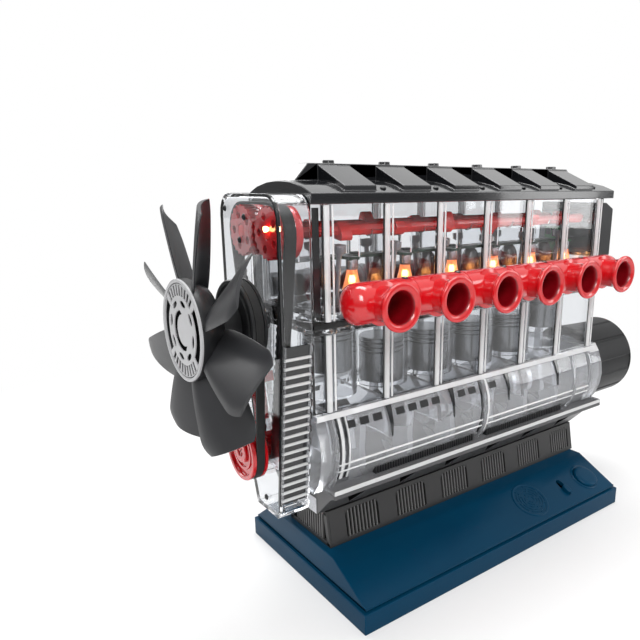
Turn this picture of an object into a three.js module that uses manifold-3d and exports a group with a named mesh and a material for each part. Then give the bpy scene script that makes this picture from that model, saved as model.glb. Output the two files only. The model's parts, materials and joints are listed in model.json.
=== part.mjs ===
// A see-through model of an in-line six-cylinder four-stroke engine on a console base.
// Millimetres, +Z up. The origin is the centre of the base's underside, +X points to the bell housing
// at the rear, -X to the fan, and -Y to the intake side.
import * as THREE from "three";
import { mergeVertices } from "three/addons/utils/BufferGeometryUtils.js";
import Module from "manifold-3d";

const wasm = await Module();
wasm.setup();

// General clearances and facet counts
const runningGap = 0.3;
const seatGap = 0.3;
const overrun = 2;
const weldDistance = 0.0005;
const barrelSides = 26;
const roundSides = 16;
const pistonSides = 14;
const middleSides = 10;
const smallSides = 8;
const tinySides = 6;

// Console base
const baseLength = 210;
const baseWidth = 114;
const baseWall = 2.4;
const trayHeight = 11;
const trayWall = 4.4;
const trayFloor = 2;
const coverInset = 1.5;
const grooveHeight = 1.2;
const grooveDepth = 1.3;
const coverRimHeight = 0.4;
const coverRise = 13.6;
const frontSlopeRun = 27.9;
const rearSlopeRun = 17.4;

// Battery compartment in the underside
const doorOffset = -51;
const doorLength = 62;
const doorWidth = 54;
const doorRecess = 0.4;
const doorGripRadius = 6;
const compartmentHeight = 7.5;
const compartmentWall = 1.6;

// Controls on the front slope of the base, each placed from its neighbour and from the slope's lower edge
const speakerSpacing = 31.5;
const speakerMargin = 3.8;
const speakerRadius = 11.4;
const speakerDepth = 4;
const speakerConeDepth = 2;
const grilleSlot = 1.1;
const grilleRings = 3;
const grilleArcs = 4;
const grilleBridge = 2.2;
const switchSpacing = 22.9;
const switchTravel = 5;
const knobLength = 6.9;
const knobWidth = 4;
const switchRise = 2.2;
const switchFlange = 1.4;
const switchFlangeThickness = 1.6;
const buttonEndGap = 3.1;
const buttonEdgeGap = 0.1;
const buttonRadius = 8.4;
const buttonRise = 2.6;
const buttonFlange = 1.2;
const buttonFlangeThickness = 1.6;
const buttonCrown = 1.1;

// Cylinder row and crank train
const firingOrder = [1, 5, 3, 6, 2, 4];
const cylinderPitch = 34.1;
const rowCentre = -1;
const throwRadius = 7.5;
const boreRadius = 12.7;
const linerWall = 2;
const journalRadius = 4;
const snoutRadius = 3;
const crankpinRadius = 4.5;
const crankpinLength = 10;
const webThickness = 4;
const webMargin = 3.7;
const crankFlangeMargin = 0.5;
const crankFlangeThickness = 2.5;
const rodLength = 38.4;
const rodBigEndWall = 2.9;
const rodSideClearance = 1.7;
const rodSmallEndThickness = 4;
const rodShankWidth = 5;
const rodShankThickness = 3.2;
const pistonHeight = 24;
const pistonCrownAbovePin = 11;
const pistonWall = 1.2;
const pistonCrown = 2.4;
const ringGrooveDepth = 0.5;
const ringGrooveWidth = 0.9;
const ringGroovePitch = 2.6;
const bossRadius = 3.2;
const bossClearance = 0.4;
const skirtClearance = 0.9;

// Clear housings, each length and width as a margin past what it encloses
const frontMargin = 25.45;
const rearMargin = 20.75;
const headOverhang = 3;
const crankcaseOverhang = 9.5;
const blockMargin = 11.8;
const blockWall = 1.8;
const blockClearance = 2.9;
const deckClearance = 3.5;
const flangeOverhang = 1.9;
const flangeThickness = 2.8;
const wallRibWidth = 3;
const wallRibDepth = 1.1;
const crankcaseMargin = 13.3;
const crankcaseWall = 2;
const hoopRise = 1.3;
const hoopWidth = 2.5;
const railThickness = 3;
const railOverhang = 2.9;
const lipThickness = 2.3;
const lipOverhang = 0.7;
const lipMargin = 1.7;
const crankClearance = 1.8;
const bulkheadThickness = 2.4;

// Black bedplate and oil pan
const bedplateHeight = 16.5;
const bedplateFlangeThickness = 2.2;
const bedplateSkirtDrop = 1.4;
const bedplateSkirtInset = 4;
const bedplateWall = 3;
const panHeight = 19.8;
const panTopHalfWidth = 16.5;
const panFootHalfWidth = 20.2;
const panSetback = 5;
const panWall = 3.4;
const panFloor = 2.6;
const finSlotWidth = 1.9;
const finPitch = 4.1;
const finDepth = 1.5;
const finsInGroup = 5;
const finsOnEnd = 7;
const finGroupOffset = -0.5;
const finBottomMargin = 3;
const finTopMargin = 2.2;
const pocketWidth = 15;
const pocketDepth = 1.6;
const pocketMargin = 2;
const saddleHalfWidth = 6.5;
const saddleThickness = 4;

// Cylinder head, valves and lights
const headHeight = 55.5;
const camDrop = 12.5;
const camGap = 0.7;
const camJournalRadius = 3;
const camBaseRadius = 4.2;
const camNoseRadius = 1.8;
const camNoseReach = 5.2;
const camLobeWidth = 6;
const valvePlugMargin = 0.2;
const valveRimMargin = 0.8;
const valveHeadThickness = 1;
const valveConeHeight = 1.6;
const valveStemRadius = 1.4;
const valveRecess = 0.9;
const tappetRadius = 3.6;
const tappetHeight = 3.4;
const tappetNeck = 1.2;
const chamberMargin = 0.5;
const chamberDepth = 3.4;
const headFloor = 3;
const plugHoleRadius = 2.8;
const plugTipRadius = 2.3;
const plugTipRise = 1;
const plugCupTopRadius = 6;
const plugCupLength = 13;
const plugNeckRadius = 2.9;
const boardRise = 28;
const boardThickness = 1.6;
const boardHalfWidth = 4.6;
const boardSideGap = 0.4;
const boardPanelLength = 10;
const boardPanelHeight = 24;
const boardPanelRise = 8;

// Valve cover
const coverOverhang = 0.6;
const coverRearOverhang = 7;
const coverLipHeight = 4.7;
const coverArchHeight = 5.4;
const coverWall = 1.8;
const ridgeRise = 13.3;
const ridgeHalfWidth = 5;
const ridgeFrontSetback = 13.7;
const ridgeRearSetback = 11;
const ridgeRamp = 10;
const coverRibWidth = 18;
const coverRibStep = 3.2;
const coverRibInset = 2.4;
const coverRibOffset = 2.5;
const coverNutRadius = 3.2;
const coverNutHeight = 1.6;

// Timing cover
const timingDepth = 16;
const timingWall = 1.8;
const timingTopGap = 1.9;
const timingSideGap = 0.8;
const timingCorner = 10;
const timingWaistDrop = 4;
const timingFootDrop = 31.6;
const timingFootInset = 9;
const timingFarKneeHalfWidth = 7;
const timingFarKneeDrop = 19.6;
const timingFarFootHalfWidth = 3.5;
const ladderCount = 13;
const ladderDepth = 1.2;
const fanBossWall = 2.1;
const fanBossDepth = 8;
const fanBossNose = 1.4;

// Timing drive
const camTeeth = 20;
const crankTeeth = 10;
const camSprocketRadius = 11.9;
const sprocketToothDepth = 0.8;
const sprocketWidth = 6.4;
const sprocketSetback = 2.2;
const sprocketHoleRadius = 2;
const sprocketRimWidth = 1.7;
const sprocketHoleCount = 5;
const beltThickness = 1.1;
const beltToothDepth = 0.7;
const beltWidth = 5.6;
const guideBarThickness = 3;
const guideBarRise = 11.4;
const guideBarLength = 23;
const guideBarFoot = 5;

// Front drive
const crankPulleyRadius = 14.65;
const fanPulleyRadius = 20;
const pulleyWidth = 8;
const pulleyGap = 1.8;
const pulleyGrooveDepth = 1.6;
const pulleyGrooveMargin = 0.3;
const pulleyFaceRecess = 1.6;
const pulleyRingWidth = 2.2;
const pulleyHubRadius = 6;
const pulleyCoreRadius = 2.6;
const fanBeltThickness = 1.3;
const fanBeltWidth = 4;
const fanRise = 2.2;
const fanShaftRadius = 3;
const fanReach = 23.8;
const fanHubRadius = 19.6;
const fanHubThickness = 5;
const fanHubRingDepth = 0.8;
const fanHubRingWidth = 2.4;
const fanNeckRadius = 11;
const fanTipRadius = 56;
const fanBladeCount = 8;
const fanBladeRoot = 15;
const fanBladeRootChord = 13;
const fanBladeTipChord = 31;
const fanBladeThickness = 1.7;
const fanBladePitch = 36;
const fanBladeTwist = 12;
const fanBladeSetback = 8.5;

// Bell housing, flywheel and motor
const bellRadius = 26;
const bellLength = 48.5;
const bellWall = 2;
const bellRibCount = 14;
const bellRibDepth = 0.8;
const bellBevel = 3;
const bellEarRadius = 5;
const flywheelClearance = 2;
const flywheelThickness = 5.5;
const driveGearTeeth = 27;
const pinionTeeth = 9;
const gearModule = 2 / 3;
const driveGearWidth = 5;
const gearToothShare = 0.62;
const gearBacklash = 0.25;
const dowelRadius = 1.4;
const dowelInset = 1;
const motorRearGap = 6.5;
const motorGap = 2.4;
const motorShaftRadius = 1;
const motorNoseRadius = 4;
const motorNoseLength = 1.4;
const motorShaftDepth = 5;

// Rear box behind the head
const rearBoxDepth = 18.6;
const rearBoxHalfWidth = 22;
const rearBoxHeight = 34.5;
const rearBoxDrop = 3;
const rearBoxChamfer = 4;
const rearBoxWall = 2;

// Intake and exhaust manifolds
const logRadius = 9.6;
const logStandoff = 14;
const logRise = 12.5;
const logFrontOverhang = 12;
const logRearOverhang = 11;
const trumpetLength = 19.5;
const trumpetRimRadius = 10.85;
const trumpetRimThickness = 1.3;
const trumpetNeckRadius = 8.3;
const trumpetBoreRadius = 6.6;
const trumpetMouthRadius = 9.6;
const runnerRadius = 6.2;
const runnerFlangeRadius = 7.2;
const runnerFlangeThickness = 2;
const exhaustRadius = 6.6;
const exhaustBoreRadius = 4.8;
const exhaustRunnerRadius = 4.6;
const exhaustStandoff = 14.5;
const exhaustLift = 0.7;
const exhaustOverhang = 9;
const exhaustOutletRadius = 8.4;
const exhaustOutletLength = 3;

// Places worked out from the sizes above
const turn = 2 * Math.PI;
const cylinderCount = firingOrder.length;
const cylinders = firingOrder.map((_, k) => k);
const dowelCount = cylinderCount / 2;
const firingTurn = (k) => (firingOrder.indexOf(k + 1) / cylinderCount) * turn;
const throwTurn = (k) => (2 * turn - 2 * firingTurn(k)) % turn;
const cylinderX = (k) => rowCentre + (k - (cylinderCount - 1) / 2) * cylinderPitch;
const bearingX = (k) => cylinderX(k) - cylinderPitch / 2;

// Radii that set the heights
const counterweightRadius =
  rodLength + pistonCrownAbovePin - pistonHeight - throwRadius - skirtClearance;
const camSpread = camSprocketRadius + camGap;
const sprocketHoleCircle = camSprocketRadius - sprocketToothDepth - sprocketRimWidth - sprocketHoleRadius;
const camLoopRadius = camSprocketRadius + runningGap + beltThickness;

// Heights from the table up
const slopeBottom = trayHeight + grooveHeight + coverRimHeight;
const baseHeight = slopeBottom + coverRise;
const panTop = baseHeight + panHeight;
const lipBottom = panTop + bedplateHeight;
const lipTop = lipBottom + lipThickness;
const crankHeight = lipTop + crankClearance + counterweightRadius;
const blockBottom = crankHeight + counterweightRadius + blockClearance;
const deckHeight = crankHeight + throwRadius + rodLength + pistonCrownAbovePin + deckClearance;
const headTop = deckHeight + headHeight;
const camHeight = headTop - camDrop;
const boardHeight = deckHeight + boardRise;
const ridgeHeight = headTop + coverLipHeight + ridgeRise;
const timingTop = camHeight + camLoopRadius + timingTopGap + timingWall;
const fanHeight = deckHeight + fanRise;
const logHeight = deckHeight + logRise;
const exhaustHeight = deckHeight + flangeThickness + seatGap + runnerFlangeRadius + exhaustLift;

// Lengths from the front face back
const frontFace = frontMargin - cylinderX(0);
const blockRear = cylinderX(cylinderCount - 1) + rearMargin;
const headRear = blockRear + headOverhang;
const crankcaseRear = blockRear + crankcaseOverhang;
const coverRear = headRear + coverRearOverhang;
const lipFront = lipMargin - bearingX(0);
const panFront = lipFront - panSetback;
const panRear = blockRear;
const ridgeFront = frontFace - ridgeFrontSetback;
const ridgeRear = headRear - ridgeRearSetback;
const timingFace = -frontFace - timingDepth;
const sprocketFace = timingFace + timingWall + sprocketSetback;
const pulleyBack = timingFace - pulleyGap;
const pulleyFront = pulleyBack - pulleyWidth;
const beltPlane = (pulleyBack + pulleyFront) / 2;
const fanHubFace = fanReach - pulleyFront;
const flywheelFace = crankcaseRear + crankFlangeThickness + 2 * runningGap;
const gearFace = flywheelFace + flywheelThickness;
const motorFace = gearFace + driveGearWidth + motorGap;
const bellRear = crankcaseRear + bellLength;
const motorRear = bellRear - bellWall - motorRearGap;

// Widths and radii
const blockHalfWidth = boreRadius + linerWall + blockMargin;
const flangeHalfWidth = blockHalfWidth + flangeOverhang;
const railHalfWidth = blockHalfWidth + railOverhang;
const coverHalfWidth = flangeHalfWidth + coverOverhang;
const crankcaseRadius = counterweightRadius + crankcaseWall + crankcaseMargin;
const lipHalfWidth = crankcaseRadius + lipOverhang;
const timingHalfWidth = camSpread + camLoopRadius + timingSideGap + timingWall;
const timingFootHalfWidth = timingHalfWidth - timingFootInset;
const webRadius = crankpinRadius + webMargin;
const crankFlangeRadius = throwRadius / 2 + dowelRadius + runningGap + dowelInset + crankFlangeMargin;
const rodBigEndRadius = crankpinRadius + rodBigEndWall;
const rodBigEndThickness = crankpinLength - 2 * rodSideClearance;
const pistonRadius = boreRadius - runningGap;
const pistonInnerRadius = pistonRadius - pistonWall;
const rodSmallEndRadius = pistonInnerRadius * Math.cos(turn / 2 / pistonSides) - throwRadius - runningGap;
const crankSprocketRadius = (camSprocketRadius * crankTeeth) / camTeeth;
const chamberRadius = boreRadius - chamberMargin;
const valveHeadRadius = (chamberRadius - plugHoleRadius - valvePlugMargin - valveRimMargin) / 2;
const valveSeatSpread = plugHoleRadius + valvePlugMargin + valveHeadRadius;
const flywheelRadius = bellRadius - bellWall - flywheelClearance;
const motorDrop = (gearModule * (driveGearTeeth + pinionTeeth)) / 2;
const motorRadius = bellRadius - bellWall - motorDrop - seatGap;
const fanBossRadius = fanShaftRadius + runningGap + fanBossWall;
const logReach = blockHalfWidth + logStandoff;
const trumpetReach = logReach + trumpetLength;
const exhaustReach = blockHalfWidth + exhaustStandoff;

// Controls along the base and up its slope
const coverSide = grooveDepth + baseWall;
const buttonReach = buttonRadius + buttonFlange + coverSide;
const buttonAt = baseLength / 2 - coverInset - buttonReach - buttonEndGap;
const switchAt = buttonAt - switchSpacing;
const speakerAt = switchAt - speakerSpacing;
const buttonAlong = buttonReach + buttonEdgeGap;
const switchAlong = buttonAlong;
const speakerAlong = speakerRadius + speakerMargin;

// Angles and lengths that follow from two places
const slopeAngle = Math.atan2(coverRise, frontSlopeRun);
const valveTilt = Math.atan2(camSpread - valveSeatSpread, camHeight - deckHeight);
const valveReach = Math.hypot(camSpread - valveSeatSpread, camHeight - deckHeight);
const valveLength = valveReach - camNoseReach - camNoseRadius - runningGap - valveRecess;

// Outlines
function arc(centreA, centreB, radius, from, to, steps) {
  return Array.from({ length: steps + 1 }, (_, i) => {
    const angle = from + ((to - from) * i) / steps;
    return [centreA + radius * Math.cos(angle), centreB + radius * Math.sin(angle)];
  });
}

function circle(centreA, centreB, radius, sides) {
  return arc(centreA, centreB, radius, 0, turn, sides).slice(0, sides);
}

function toothedRing(teeth, tipRadius, rootRadius, toothShare, phase = 0) {
  const step = turn / teeth;
  const corners = [
    [rootRadius, -toothShare / 2],
    [tipRadius, -toothShare / 4],
    [tipRadius, toothShare / 4],
    [rootRadius, toothShare / 2],
  ];
  return Array.from({ length: teeth }, (_, i) =>
    corners.map(([radius, share]) => {
      const angle = phase + (i + share) * step;
      return [radius * Math.cos(angle), radius * Math.sin(angle)];
    }),
  ).flat();
}

function mirrored(points) {
  return [...points, ...points.map(([a, b]) => [-a, b]).reverse()];
}

// Solids from three.js geometry. Outlines are (Y,Z), (X,Z) and (X,Y) for the X, Y and Z directions.
function shapeFrom(outline, holes = []) {
  const shape = new THREE.Shape(outline.map(([a, b]) => new THREE.Vector2(a, b)));
  shape.holes = holes.map((hole) => new THREE.Path(hole.map(([a, b]) => new THREE.Vector2(a, b))));
  return shape;
}

function extrude(outline, depth, holes) {
  return new THREE.ExtrudeGeometry(shapeFrom(outline, holes), { depth, bevelEnabled: false });
}

function alongX(outline, from, to, holes) {
  const place = new THREE.Matrix4().set(0, 0, 1, from, 1, 0, 0, 0, 0, 1, 0, 0, 0, 0, 0, 1);
  return extrude(outline, to - from, holes).applyMatrix4(place);
}

function alongY(outline, from, to, holes) {
  const place = new THREE.Matrix4().set(1, 0, 0, 0, 0, 0, -1, to, 0, 1, 0, 0, 0, 0, 0, 1);
  return extrude(outline, to - from, holes).applyMatrix4(place);
}

function alongZ(outline, from, to, holes) {
  return extrude(outline, to - from, holes).translate(0, 0, from);
}

function box(xFrom, xTo, yFrom, yTo, zFrom, zTo) {
  const geometry = new THREE.BoxGeometry(xTo - xFrom, yTo - yFrom, zTo - zFrom);
  return geometry.translate((xFrom + xTo) / 2, (yFrom + yTo) / 2, (zFrom + zTo) / 2);
}

function lathe(profile, sides) {
  return new THREE.LatheGeometry(profile.map(([radius, along]) => new THREE.Vector2(radius, along)), sides);
}

function turnedX(profile, sides, y = 0, z = 0) {
  const place = new THREE.Matrix4().set(0, 1, 0, 0, 0, 0, 1, y, 1, 0, 0, z, 0, 0, 0, 1);
  return lathe(profile, sides).applyMatrix4(place);
}

function turnedY(profile, sides, x = 0, z = 0) {
  return lathe(profile, sides).translate(x, 0, z);
}

function turnedZ(profile, sides, x = 0, y = 0) {
  const place = new THREE.Matrix4().set(0, 0, 1, x, 1, 0, 0, y, 0, 1, 0, 0, 0, 0, 0, 1);
  return lathe(profile, sides).applyMatrix4(place);
}

function rod(radius, from, to) {
  return [[0, from], [radius, from], [radius, to], [0, to]];
}

const rodX = (radius, from, to, y, z, sides) => turnedX(rod(radius, from, to), sides, y, z);
const rodY = (radius, from, to, x, z, sides) => turnedY(rod(radius, from, to), sides, x, z);
const rodZ = (radius, from, to, x, y, sides) => turnedZ(rod(radius, from, to), sides, x, y);

// A bore's flats touch its radius, so that a round piece of that radius passes at any turn
const outside = (radius, sides) => radius / Math.cos(turn / 2 / sides);
const boreX = (radius, from, to, y, z, sides) => rodX(outside(radius, sides), from, to, y, z, sides);
const boreZ = (radius, from, to, x, y, sides) => rodZ(outside(radius, sides), from, to, x, y, sides);

// Joining and cutting
function solidFrom(geometry) {
  const bare = geometry.clone();
  bare.deleteAttribute("normal");
  bare.deleteAttribute("uv");
  const merged = mergeVertices(bare, weldDistance);
  const point = merged.attributes.position;
  const index = Array.from(merged.index.array);
  const corners = [];
  let volume = 0;
  for (let i = 0; i < index.length; i += 3) {
    const [a, b, c] = index.slice(i, i + 3);
    if (a === b || b === c || c === a) continue;
    corners.push(a, b, c);
    const [p, q, r] = [a, b, c].map((n) => new THREE.Vector3().fromBufferAttribute(point, n));
    volume += p.dot(q.cross(r));
  }
  if (volume < 0) corners.reverse();
  const mesh = new wasm.Mesh({
    numProp: 3,
    vertProperties: Float32Array.from(point.array),
    triVerts: Uint32Array.from(corners),
  });
  return new wasm.Manifold(mesh);
}

const asSolid = (part) => (part instanceof THREE.BufferGeometry ? solidFrom(part) : part);
const join = (...parts) => parts.flat().map(asSolid).reduce((a, b) => a.add(b));
const cut = (body, ...tools) => tools.flat().map(asSolid).reduce((a, b) => a.subtract(b), asSolid(body));

function geometryFrom(part) {
  const mesh = asSolid(part).getMesh();
  const geometry = new THREE.BufferGeometry();
  geometry.setAttribute("position", new THREE.BufferAttribute(mesh.vertProperties, 3));
  geometry.setIndex(new THREE.BufferAttribute(mesh.triVerts, 1));
  geometry.computeVertexNormals();
  return geometry;
}

// Finishes
const finishes = {
  clear: { color: 0xdfe7ea, roughness: 0.08, metalness: 0, transparent: true, opacity: 0.35 },
  gloss_black: { color: 0x0c0d0f, roughness: 0.18, metalness: 0 },
  matte_black: { color: 0x17181a, roughness: 0.55, metalness: 0 },
  red: { color: 0xd0121b, roughness: 0.2, metalness: 0 },
  blue: { color: 0x0d3a52, roughness: 0.35, metalness: 0 },
  silver: { color: 0xc4c8cc, roughness: 0.25, metalness: 0.8 },
  grey: { color: 0x8b9096, roughness: 0.4, metalness: 0.3 },
  rubber: { color: 0x1b1b1c, roughness: 0.8, metalness: 0 },
  circuit_green: { color: 0x1c6b3a, roughness: 0.5, metalness: 0 },
};

const engine = new THREE.Group();

function addPiece(name, finish, geometry, parent = engine) {
  const material = new THREE.MeshStandardMaterial({ ...finishes[finish], flatShading: true });
  const mesh = new THREE.Mesh(geometry, material);
  mesh.name = name;
  parent.add(mesh);
  return mesh;
}

// The slope that carries the controls: X along the base, Y up the slope, Z out of it
const slopeFrame = new THREE.Group();
slopeFrame.position.set(0, -baseWidth / 2 + coverInset, slopeBottom);
slopeFrame.rotation.x = slopeAngle;
slopeFrame.updateMatrix();
engine.add(slopeFrame);

// Console base
function coverOutline(side, top, bottom) {
  const half = baseWidth / 2 - coverInset;
  const rearAngle = Math.atan2(baseHeight - slopeBottom, rearSlopeRun);
  const rimTop = (angle) => slopeBottom + side * Math.tan(angle) - top / Math.cos(angle);
  const corner = (angle, run) => half - run - (top * (1 / Math.cos(angle) - 1)) / Math.tan(angle);
  return [
    [-half + side, bottom],
    [half - side, bottom],
    [half - side, rimTop(rearAngle)],
    [corner(rearAngle, rearSlopeRun), baseHeight - top],
    [-corner(slopeAngle, frontSlopeRun), baseHeight - top],
    [-half + side, rimTop(slopeAngle)],
  ];
}

// The switch knob's rounded outline at its lower stop, and the slot's, which is longer by the travel
function switchOutline(grow, travel) {
  const radius = knobWidth / 2 + grow;
  const low = switchAlong - (knobLength + switchTravel) / 2 + knobWidth / 2;
  const high = low + knobLength - knobWidth + travel;
  return [
    ...arc(switchAt, high, radius, 0, turn / 2, 4),
    ...arc(switchAt, low, radius, turn / 2, turn, 4),
  ];
}

function grilleTools() {
  const tools = [];
  for (let ring = 1; ring <= grilleRings; ring += 1) {
    const radius = (speakerRadius * ring) / (grilleRings + 0.4);
    const gapAngle = grilleBridge / radius;
    for (let i = 0; i < grilleArcs; i += 1) {
      const from = ((i + (ring % 2) / 2) * turn) / grilleArcs + gapAngle / 2;
      const to = from + turn / grilleArcs - gapAngle;
      const outer = arc(speakerAt, speakerAlong, radius + grilleSlot / 2, from, to, 3);
      const inner = arc(speakerAt, speakerAlong, radius - grilleSlot / 2, to, from, 3);
      tools.push(alongZ([...outer, ...inner], -baseWall - overrun, overrun));
    }
  }
  return tools;
}

function makeBaseCover() {
  const half = baseWidth / 2 - coverInset;
  const end = baseLength / 2 - coverInset;
  const neck = box(
    -end + grooveDepth, end - grooveDepth, -half + grooveDepth, half - grooveDepth,
    trayHeight, trayHeight + grooveHeight + weldDistance,
  );
  const shell = alongX(coverOutline(0, 0, trayHeight + grooveHeight), -end, end);
  const inner = coverOutline(coverSide, baseWall, trayHeight - overrun);
  const hollow = alongX(inner, -end + coverSide, end - coverSide);
  const through = [-baseWall - overrun, overrun];
  const buttonHole = boreZ(buttonRadius + runningGap, ...through, buttonAt, buttonAlong, roundSides);
  const slot = alongZ(switchOutline(runningGap, switchTravel), ...through);
  const tools = [buttonHole, slot, ...grilleTools()];
  tools.forEach((tool) => tool.applyMatrix4(slopeFrame.matrix));
  return cut(join(neck, shell), hollow, tools);
}

const doorEnds = () => [doorOffset - doorLength / 2, doorOffset + doorLength / 2];

function makeBasePlate() {
  const endX = baseLength / 2;
  const endY = baseWidth / 2;
  const tray = box(-endX, endX, -endY, endY, 0, trayHeight);
  const inside = box(
    -endX + trayWall, endX - trayWall, -endY + trayWall, endY - trayWall, trayFloor, trayHeight + overrun,
  );
  const ring = compartmentWall + seatGap;
  const [doorFront, doorEnd] = doorEnds();
  const compartment = box(
    doorFront - ring, doorEnd + ring, -doorWidth / 2 - ring, doorWidth / 2 + ring,
    trayFloor - weldDistance, trayFloor + compartmentHeight,
  );
  const opening = box(
    doorFront - seatGap, doorEnd + seatGap, -doorWidth / 2 - seatGap, doorWidth / 2 + seatGap,
    -overrun, trayFloor + compartmentHeight + overrun,
  );
  return cut(join(cut(tray, inside), compartment), opening);
}

function makeBatteryDoor() {
  const [doorFront, doorEnd] = doorEnds();
  const panel = box(doorFront, doorEnd, -doorWidth / 2, doorWidth / 2, doorRecess, trayFloor);
  const grip = rodZ(doorGripRadius, doorRecess - overrun, (doorRecess + trayFloor) / 2, doorEnd, 0, middleSides);
  return cut(panel, grip);
}

function makeSpeaker() {
  const back = -baseWall - seatGap - speakerDepth;
  const front = -baseWall - seatGap;
  const profile = [
    [0, back],
    [speakerRadius * 0.6, back],
    [speakerRadius, front - speakerConeDepth],
    [speakerRadius, front],
    [speakerRadius * 0.85, front],
    [speakerRadius * 0.3, front - speakerConeDepth],
    [0, front - speakerConeDepth],
  ];
  return turnedZ(profile, middleSides, speakerAt, speakerAlong);
}

function makeStartButton() {
  const flangeTop = -baseWall - seatGap;
  const profile = [
    [0, flangeTop - buttonFlangeThickness],
    [buttonRadius + buttonFlange + runningGap, flangeTop - buttonFlangeThickness],
    [buttonRadius + buttonFlange + runningGap, flangeTop],
    [buttonRadius, flangeTop],
    [buttonRadius, buttonRise - buttonCrown],
    [buttonRadius - buttonCrown, buttonRise - buttonCrown / 4],
    [buttonRadius - 3 * buttonCrown, buttonRise],
    [0, buttonRise],
  ];
  return turnedZ(profile, roundSides, buttonAt, buttonAlong);
}

function makeSoundSwitch() {
  const flangeTop = -baseWall - seatGap;
  const bottom = flangeTop - switchFlangeThickness;
  const knob = alongZ(switchOutline(0, 0), bottom, switchRise);
  return join(knob, alongZ(switchOutline(switchFlange, 0), bottom, flangeTop));
}

// Oil pan with groups of upright cooling fins between plain pillars
function makeOilPan() {
  const height = panTop - baseHeight;
  const sideAngle = Math.atan2(panFootHalfWidth - panTopHalfWidth, height);
  const body = alongX(
    mirrored([
      [panFootHalfWidth, baseHeight],
      [panTopHalfWidth, panTop],
    ]),
    -panFront,
    panRear,
  );
  const hollow = box(
    -panFront + panWall, panRear - panWall, -panTopHalfWidth + panWall, panTopHalfWidth - panWall,
    baseHeight + panFloor, panTop + overrun,
  );
  const finBottom = baseHeight + finBottomMargin;
  const finTop = panTop - finTopMargin;
  const faceAt = (z) => panFootHalfWidth - (z - baseHeight) * Math.tan(sideAngle);
  const sideSlot = (x, side) =>
    alongX(
      [
        [side * (faceAt(finBottom) - finDepth), finBottom],
        [side * (faceAt(finBottom) + overrun), finBottom],
        [side * (faceAt(finTop) + overrun), finTop],
        [side * (faceAt(finTop) - finDepth), finTop],
      ],
      x - finSlotWidth / 2,
      x + finSlotWidth / 2,
    );
  const slots = [];
  for (let k = 0; k < cylinderCount; k += 1) {
    for (let i = 0; i < finsInGroup; i += 1) {
      const x = cylinderX(k) + finGroupOffset + i * finPitch;
      slots.push(sideSlot(x, -1), sideSlot(x, 1));
    }
  }
  for (let i = 0; i < finsOnEnd; i += 1) {
    const y = (i - (finsOnEnd - 1) / 2) * finPitch;
    const slotSides = [y - finSlotWidth / 2, y + finSlotWidth / 2, finBottom, finTop];
    slots.push(box(-panFront - overrun, -panFront + finDepth, ...slotSides));
    slots.push(box(panRear - finDepth, panRear + overrun, ...slotSides));
  }
  return cut(body, hollow, slots);
}

// Bedplate: the black band under the clear crankcase, with recesses in its slopes and bearing saddles inside
function makeBedplate() {
  const flangeTop = lipBottom;
  const flangeBottom = flangeTop - bedplateFlangeThickness;
  const skirtTop = flangeBottom - bedplateSkirtDrop;
  const skirtHalf = lipHalfWidth - bedplateSkirtInset;
  const slope = Math.atan2(skirtTop - panTop, skirtHalf - panTopHalfWidth);
  const flange = box(-lipFront, crankcaseRear, -lipHalfWidth, lipHalfWidth, flangeBottom, flangeTop);
  const skirt = alongX(
    mirrored([
      [panTopHalfWidth, panTop],
      [skirtHalf, skirtTop],
      [lipHalfWidth - bedplateSkirtDrop, flangeBottom + weldDistance],
    ]),
    -lipFront,
    panRear,
  );
  const innerHalf = (z) => panTopHalfWidth - bedplateWall + (z - panTop) / Math.tan(slope);
  const trough = alongX(
    mirrored([
      [panTopHalfWidth - panWall, panTop - overrun],
      [innerHalf(panTop), panTop + bedplateWall],
      [innerHalf(flangeBottom) - bedplateWall, flangeBottom],
      [innerHalf(flangeBottom) - bedplateWall, flangeTop + overrun],
    ]),
    -lipFront + bedplateWall,
    panRear - bedplateWall,
  );
  const slopeLength = Math.hypot(skirtTop - panTop, skirtHalf - panTopHalfWidth);
  const pocket = (x, side) =>
    alongZ(
      [
        [x, pocketMargin],
        [x + pocketWidth / 2, slopeLength - pocketMargin],
        [x - pocketWidth / 2, slopeLength - pocketMargin],
      ],
      -pocketDepth,
      overrun,
    )
      .rotateX(side * slope + (side < 0 ? turn / 2 : 0))
      .translate(0, side * panTopHalfWidth, panTop);
  const pockets = [];
  const saddles = [];
  for (let k = 0; k <= cylinderCount; k += 1) {
    const half = saddleThickness / 2;
    saddles.push(
      box(bearingX(k) - half, bearingX(k) + half, -saddleHalfWidth, saddleHalfWidth, panTop, crankHeight),
      box(
        bearingX(k) - half, bearingX(k) + half,
        -innerHalf(panTop) - bedplateWall, innerHalf(panTop) + bedplateWall,
        panTop, flangeBottom - bedplateSkirtDrop - bedplateSkirtInset,
      ),
    );
    if (k < cylinderCount) pockets.push(pocket(cylinderX(k), -1), pocket(cylinderX(k), 1));
  }
  const journalBore = boreX(
    journalRadius + runningGap, -frontFace - overrun, crankcaseRear + overrun, 0, crankHeight, middleSides,
  );
  const saddleTrim = box(
    -frontFace - overrun, crankcaseRear + overrun, -crankcaseRadius, crankcaseRadius,
    crankHeight - seatGap, crankHeight + crankcaseRadius,
  );
  return cut(join(cut(join(flange, skirt), trough, pockets), saddles), journalBore, saddleTrim);
}

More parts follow.
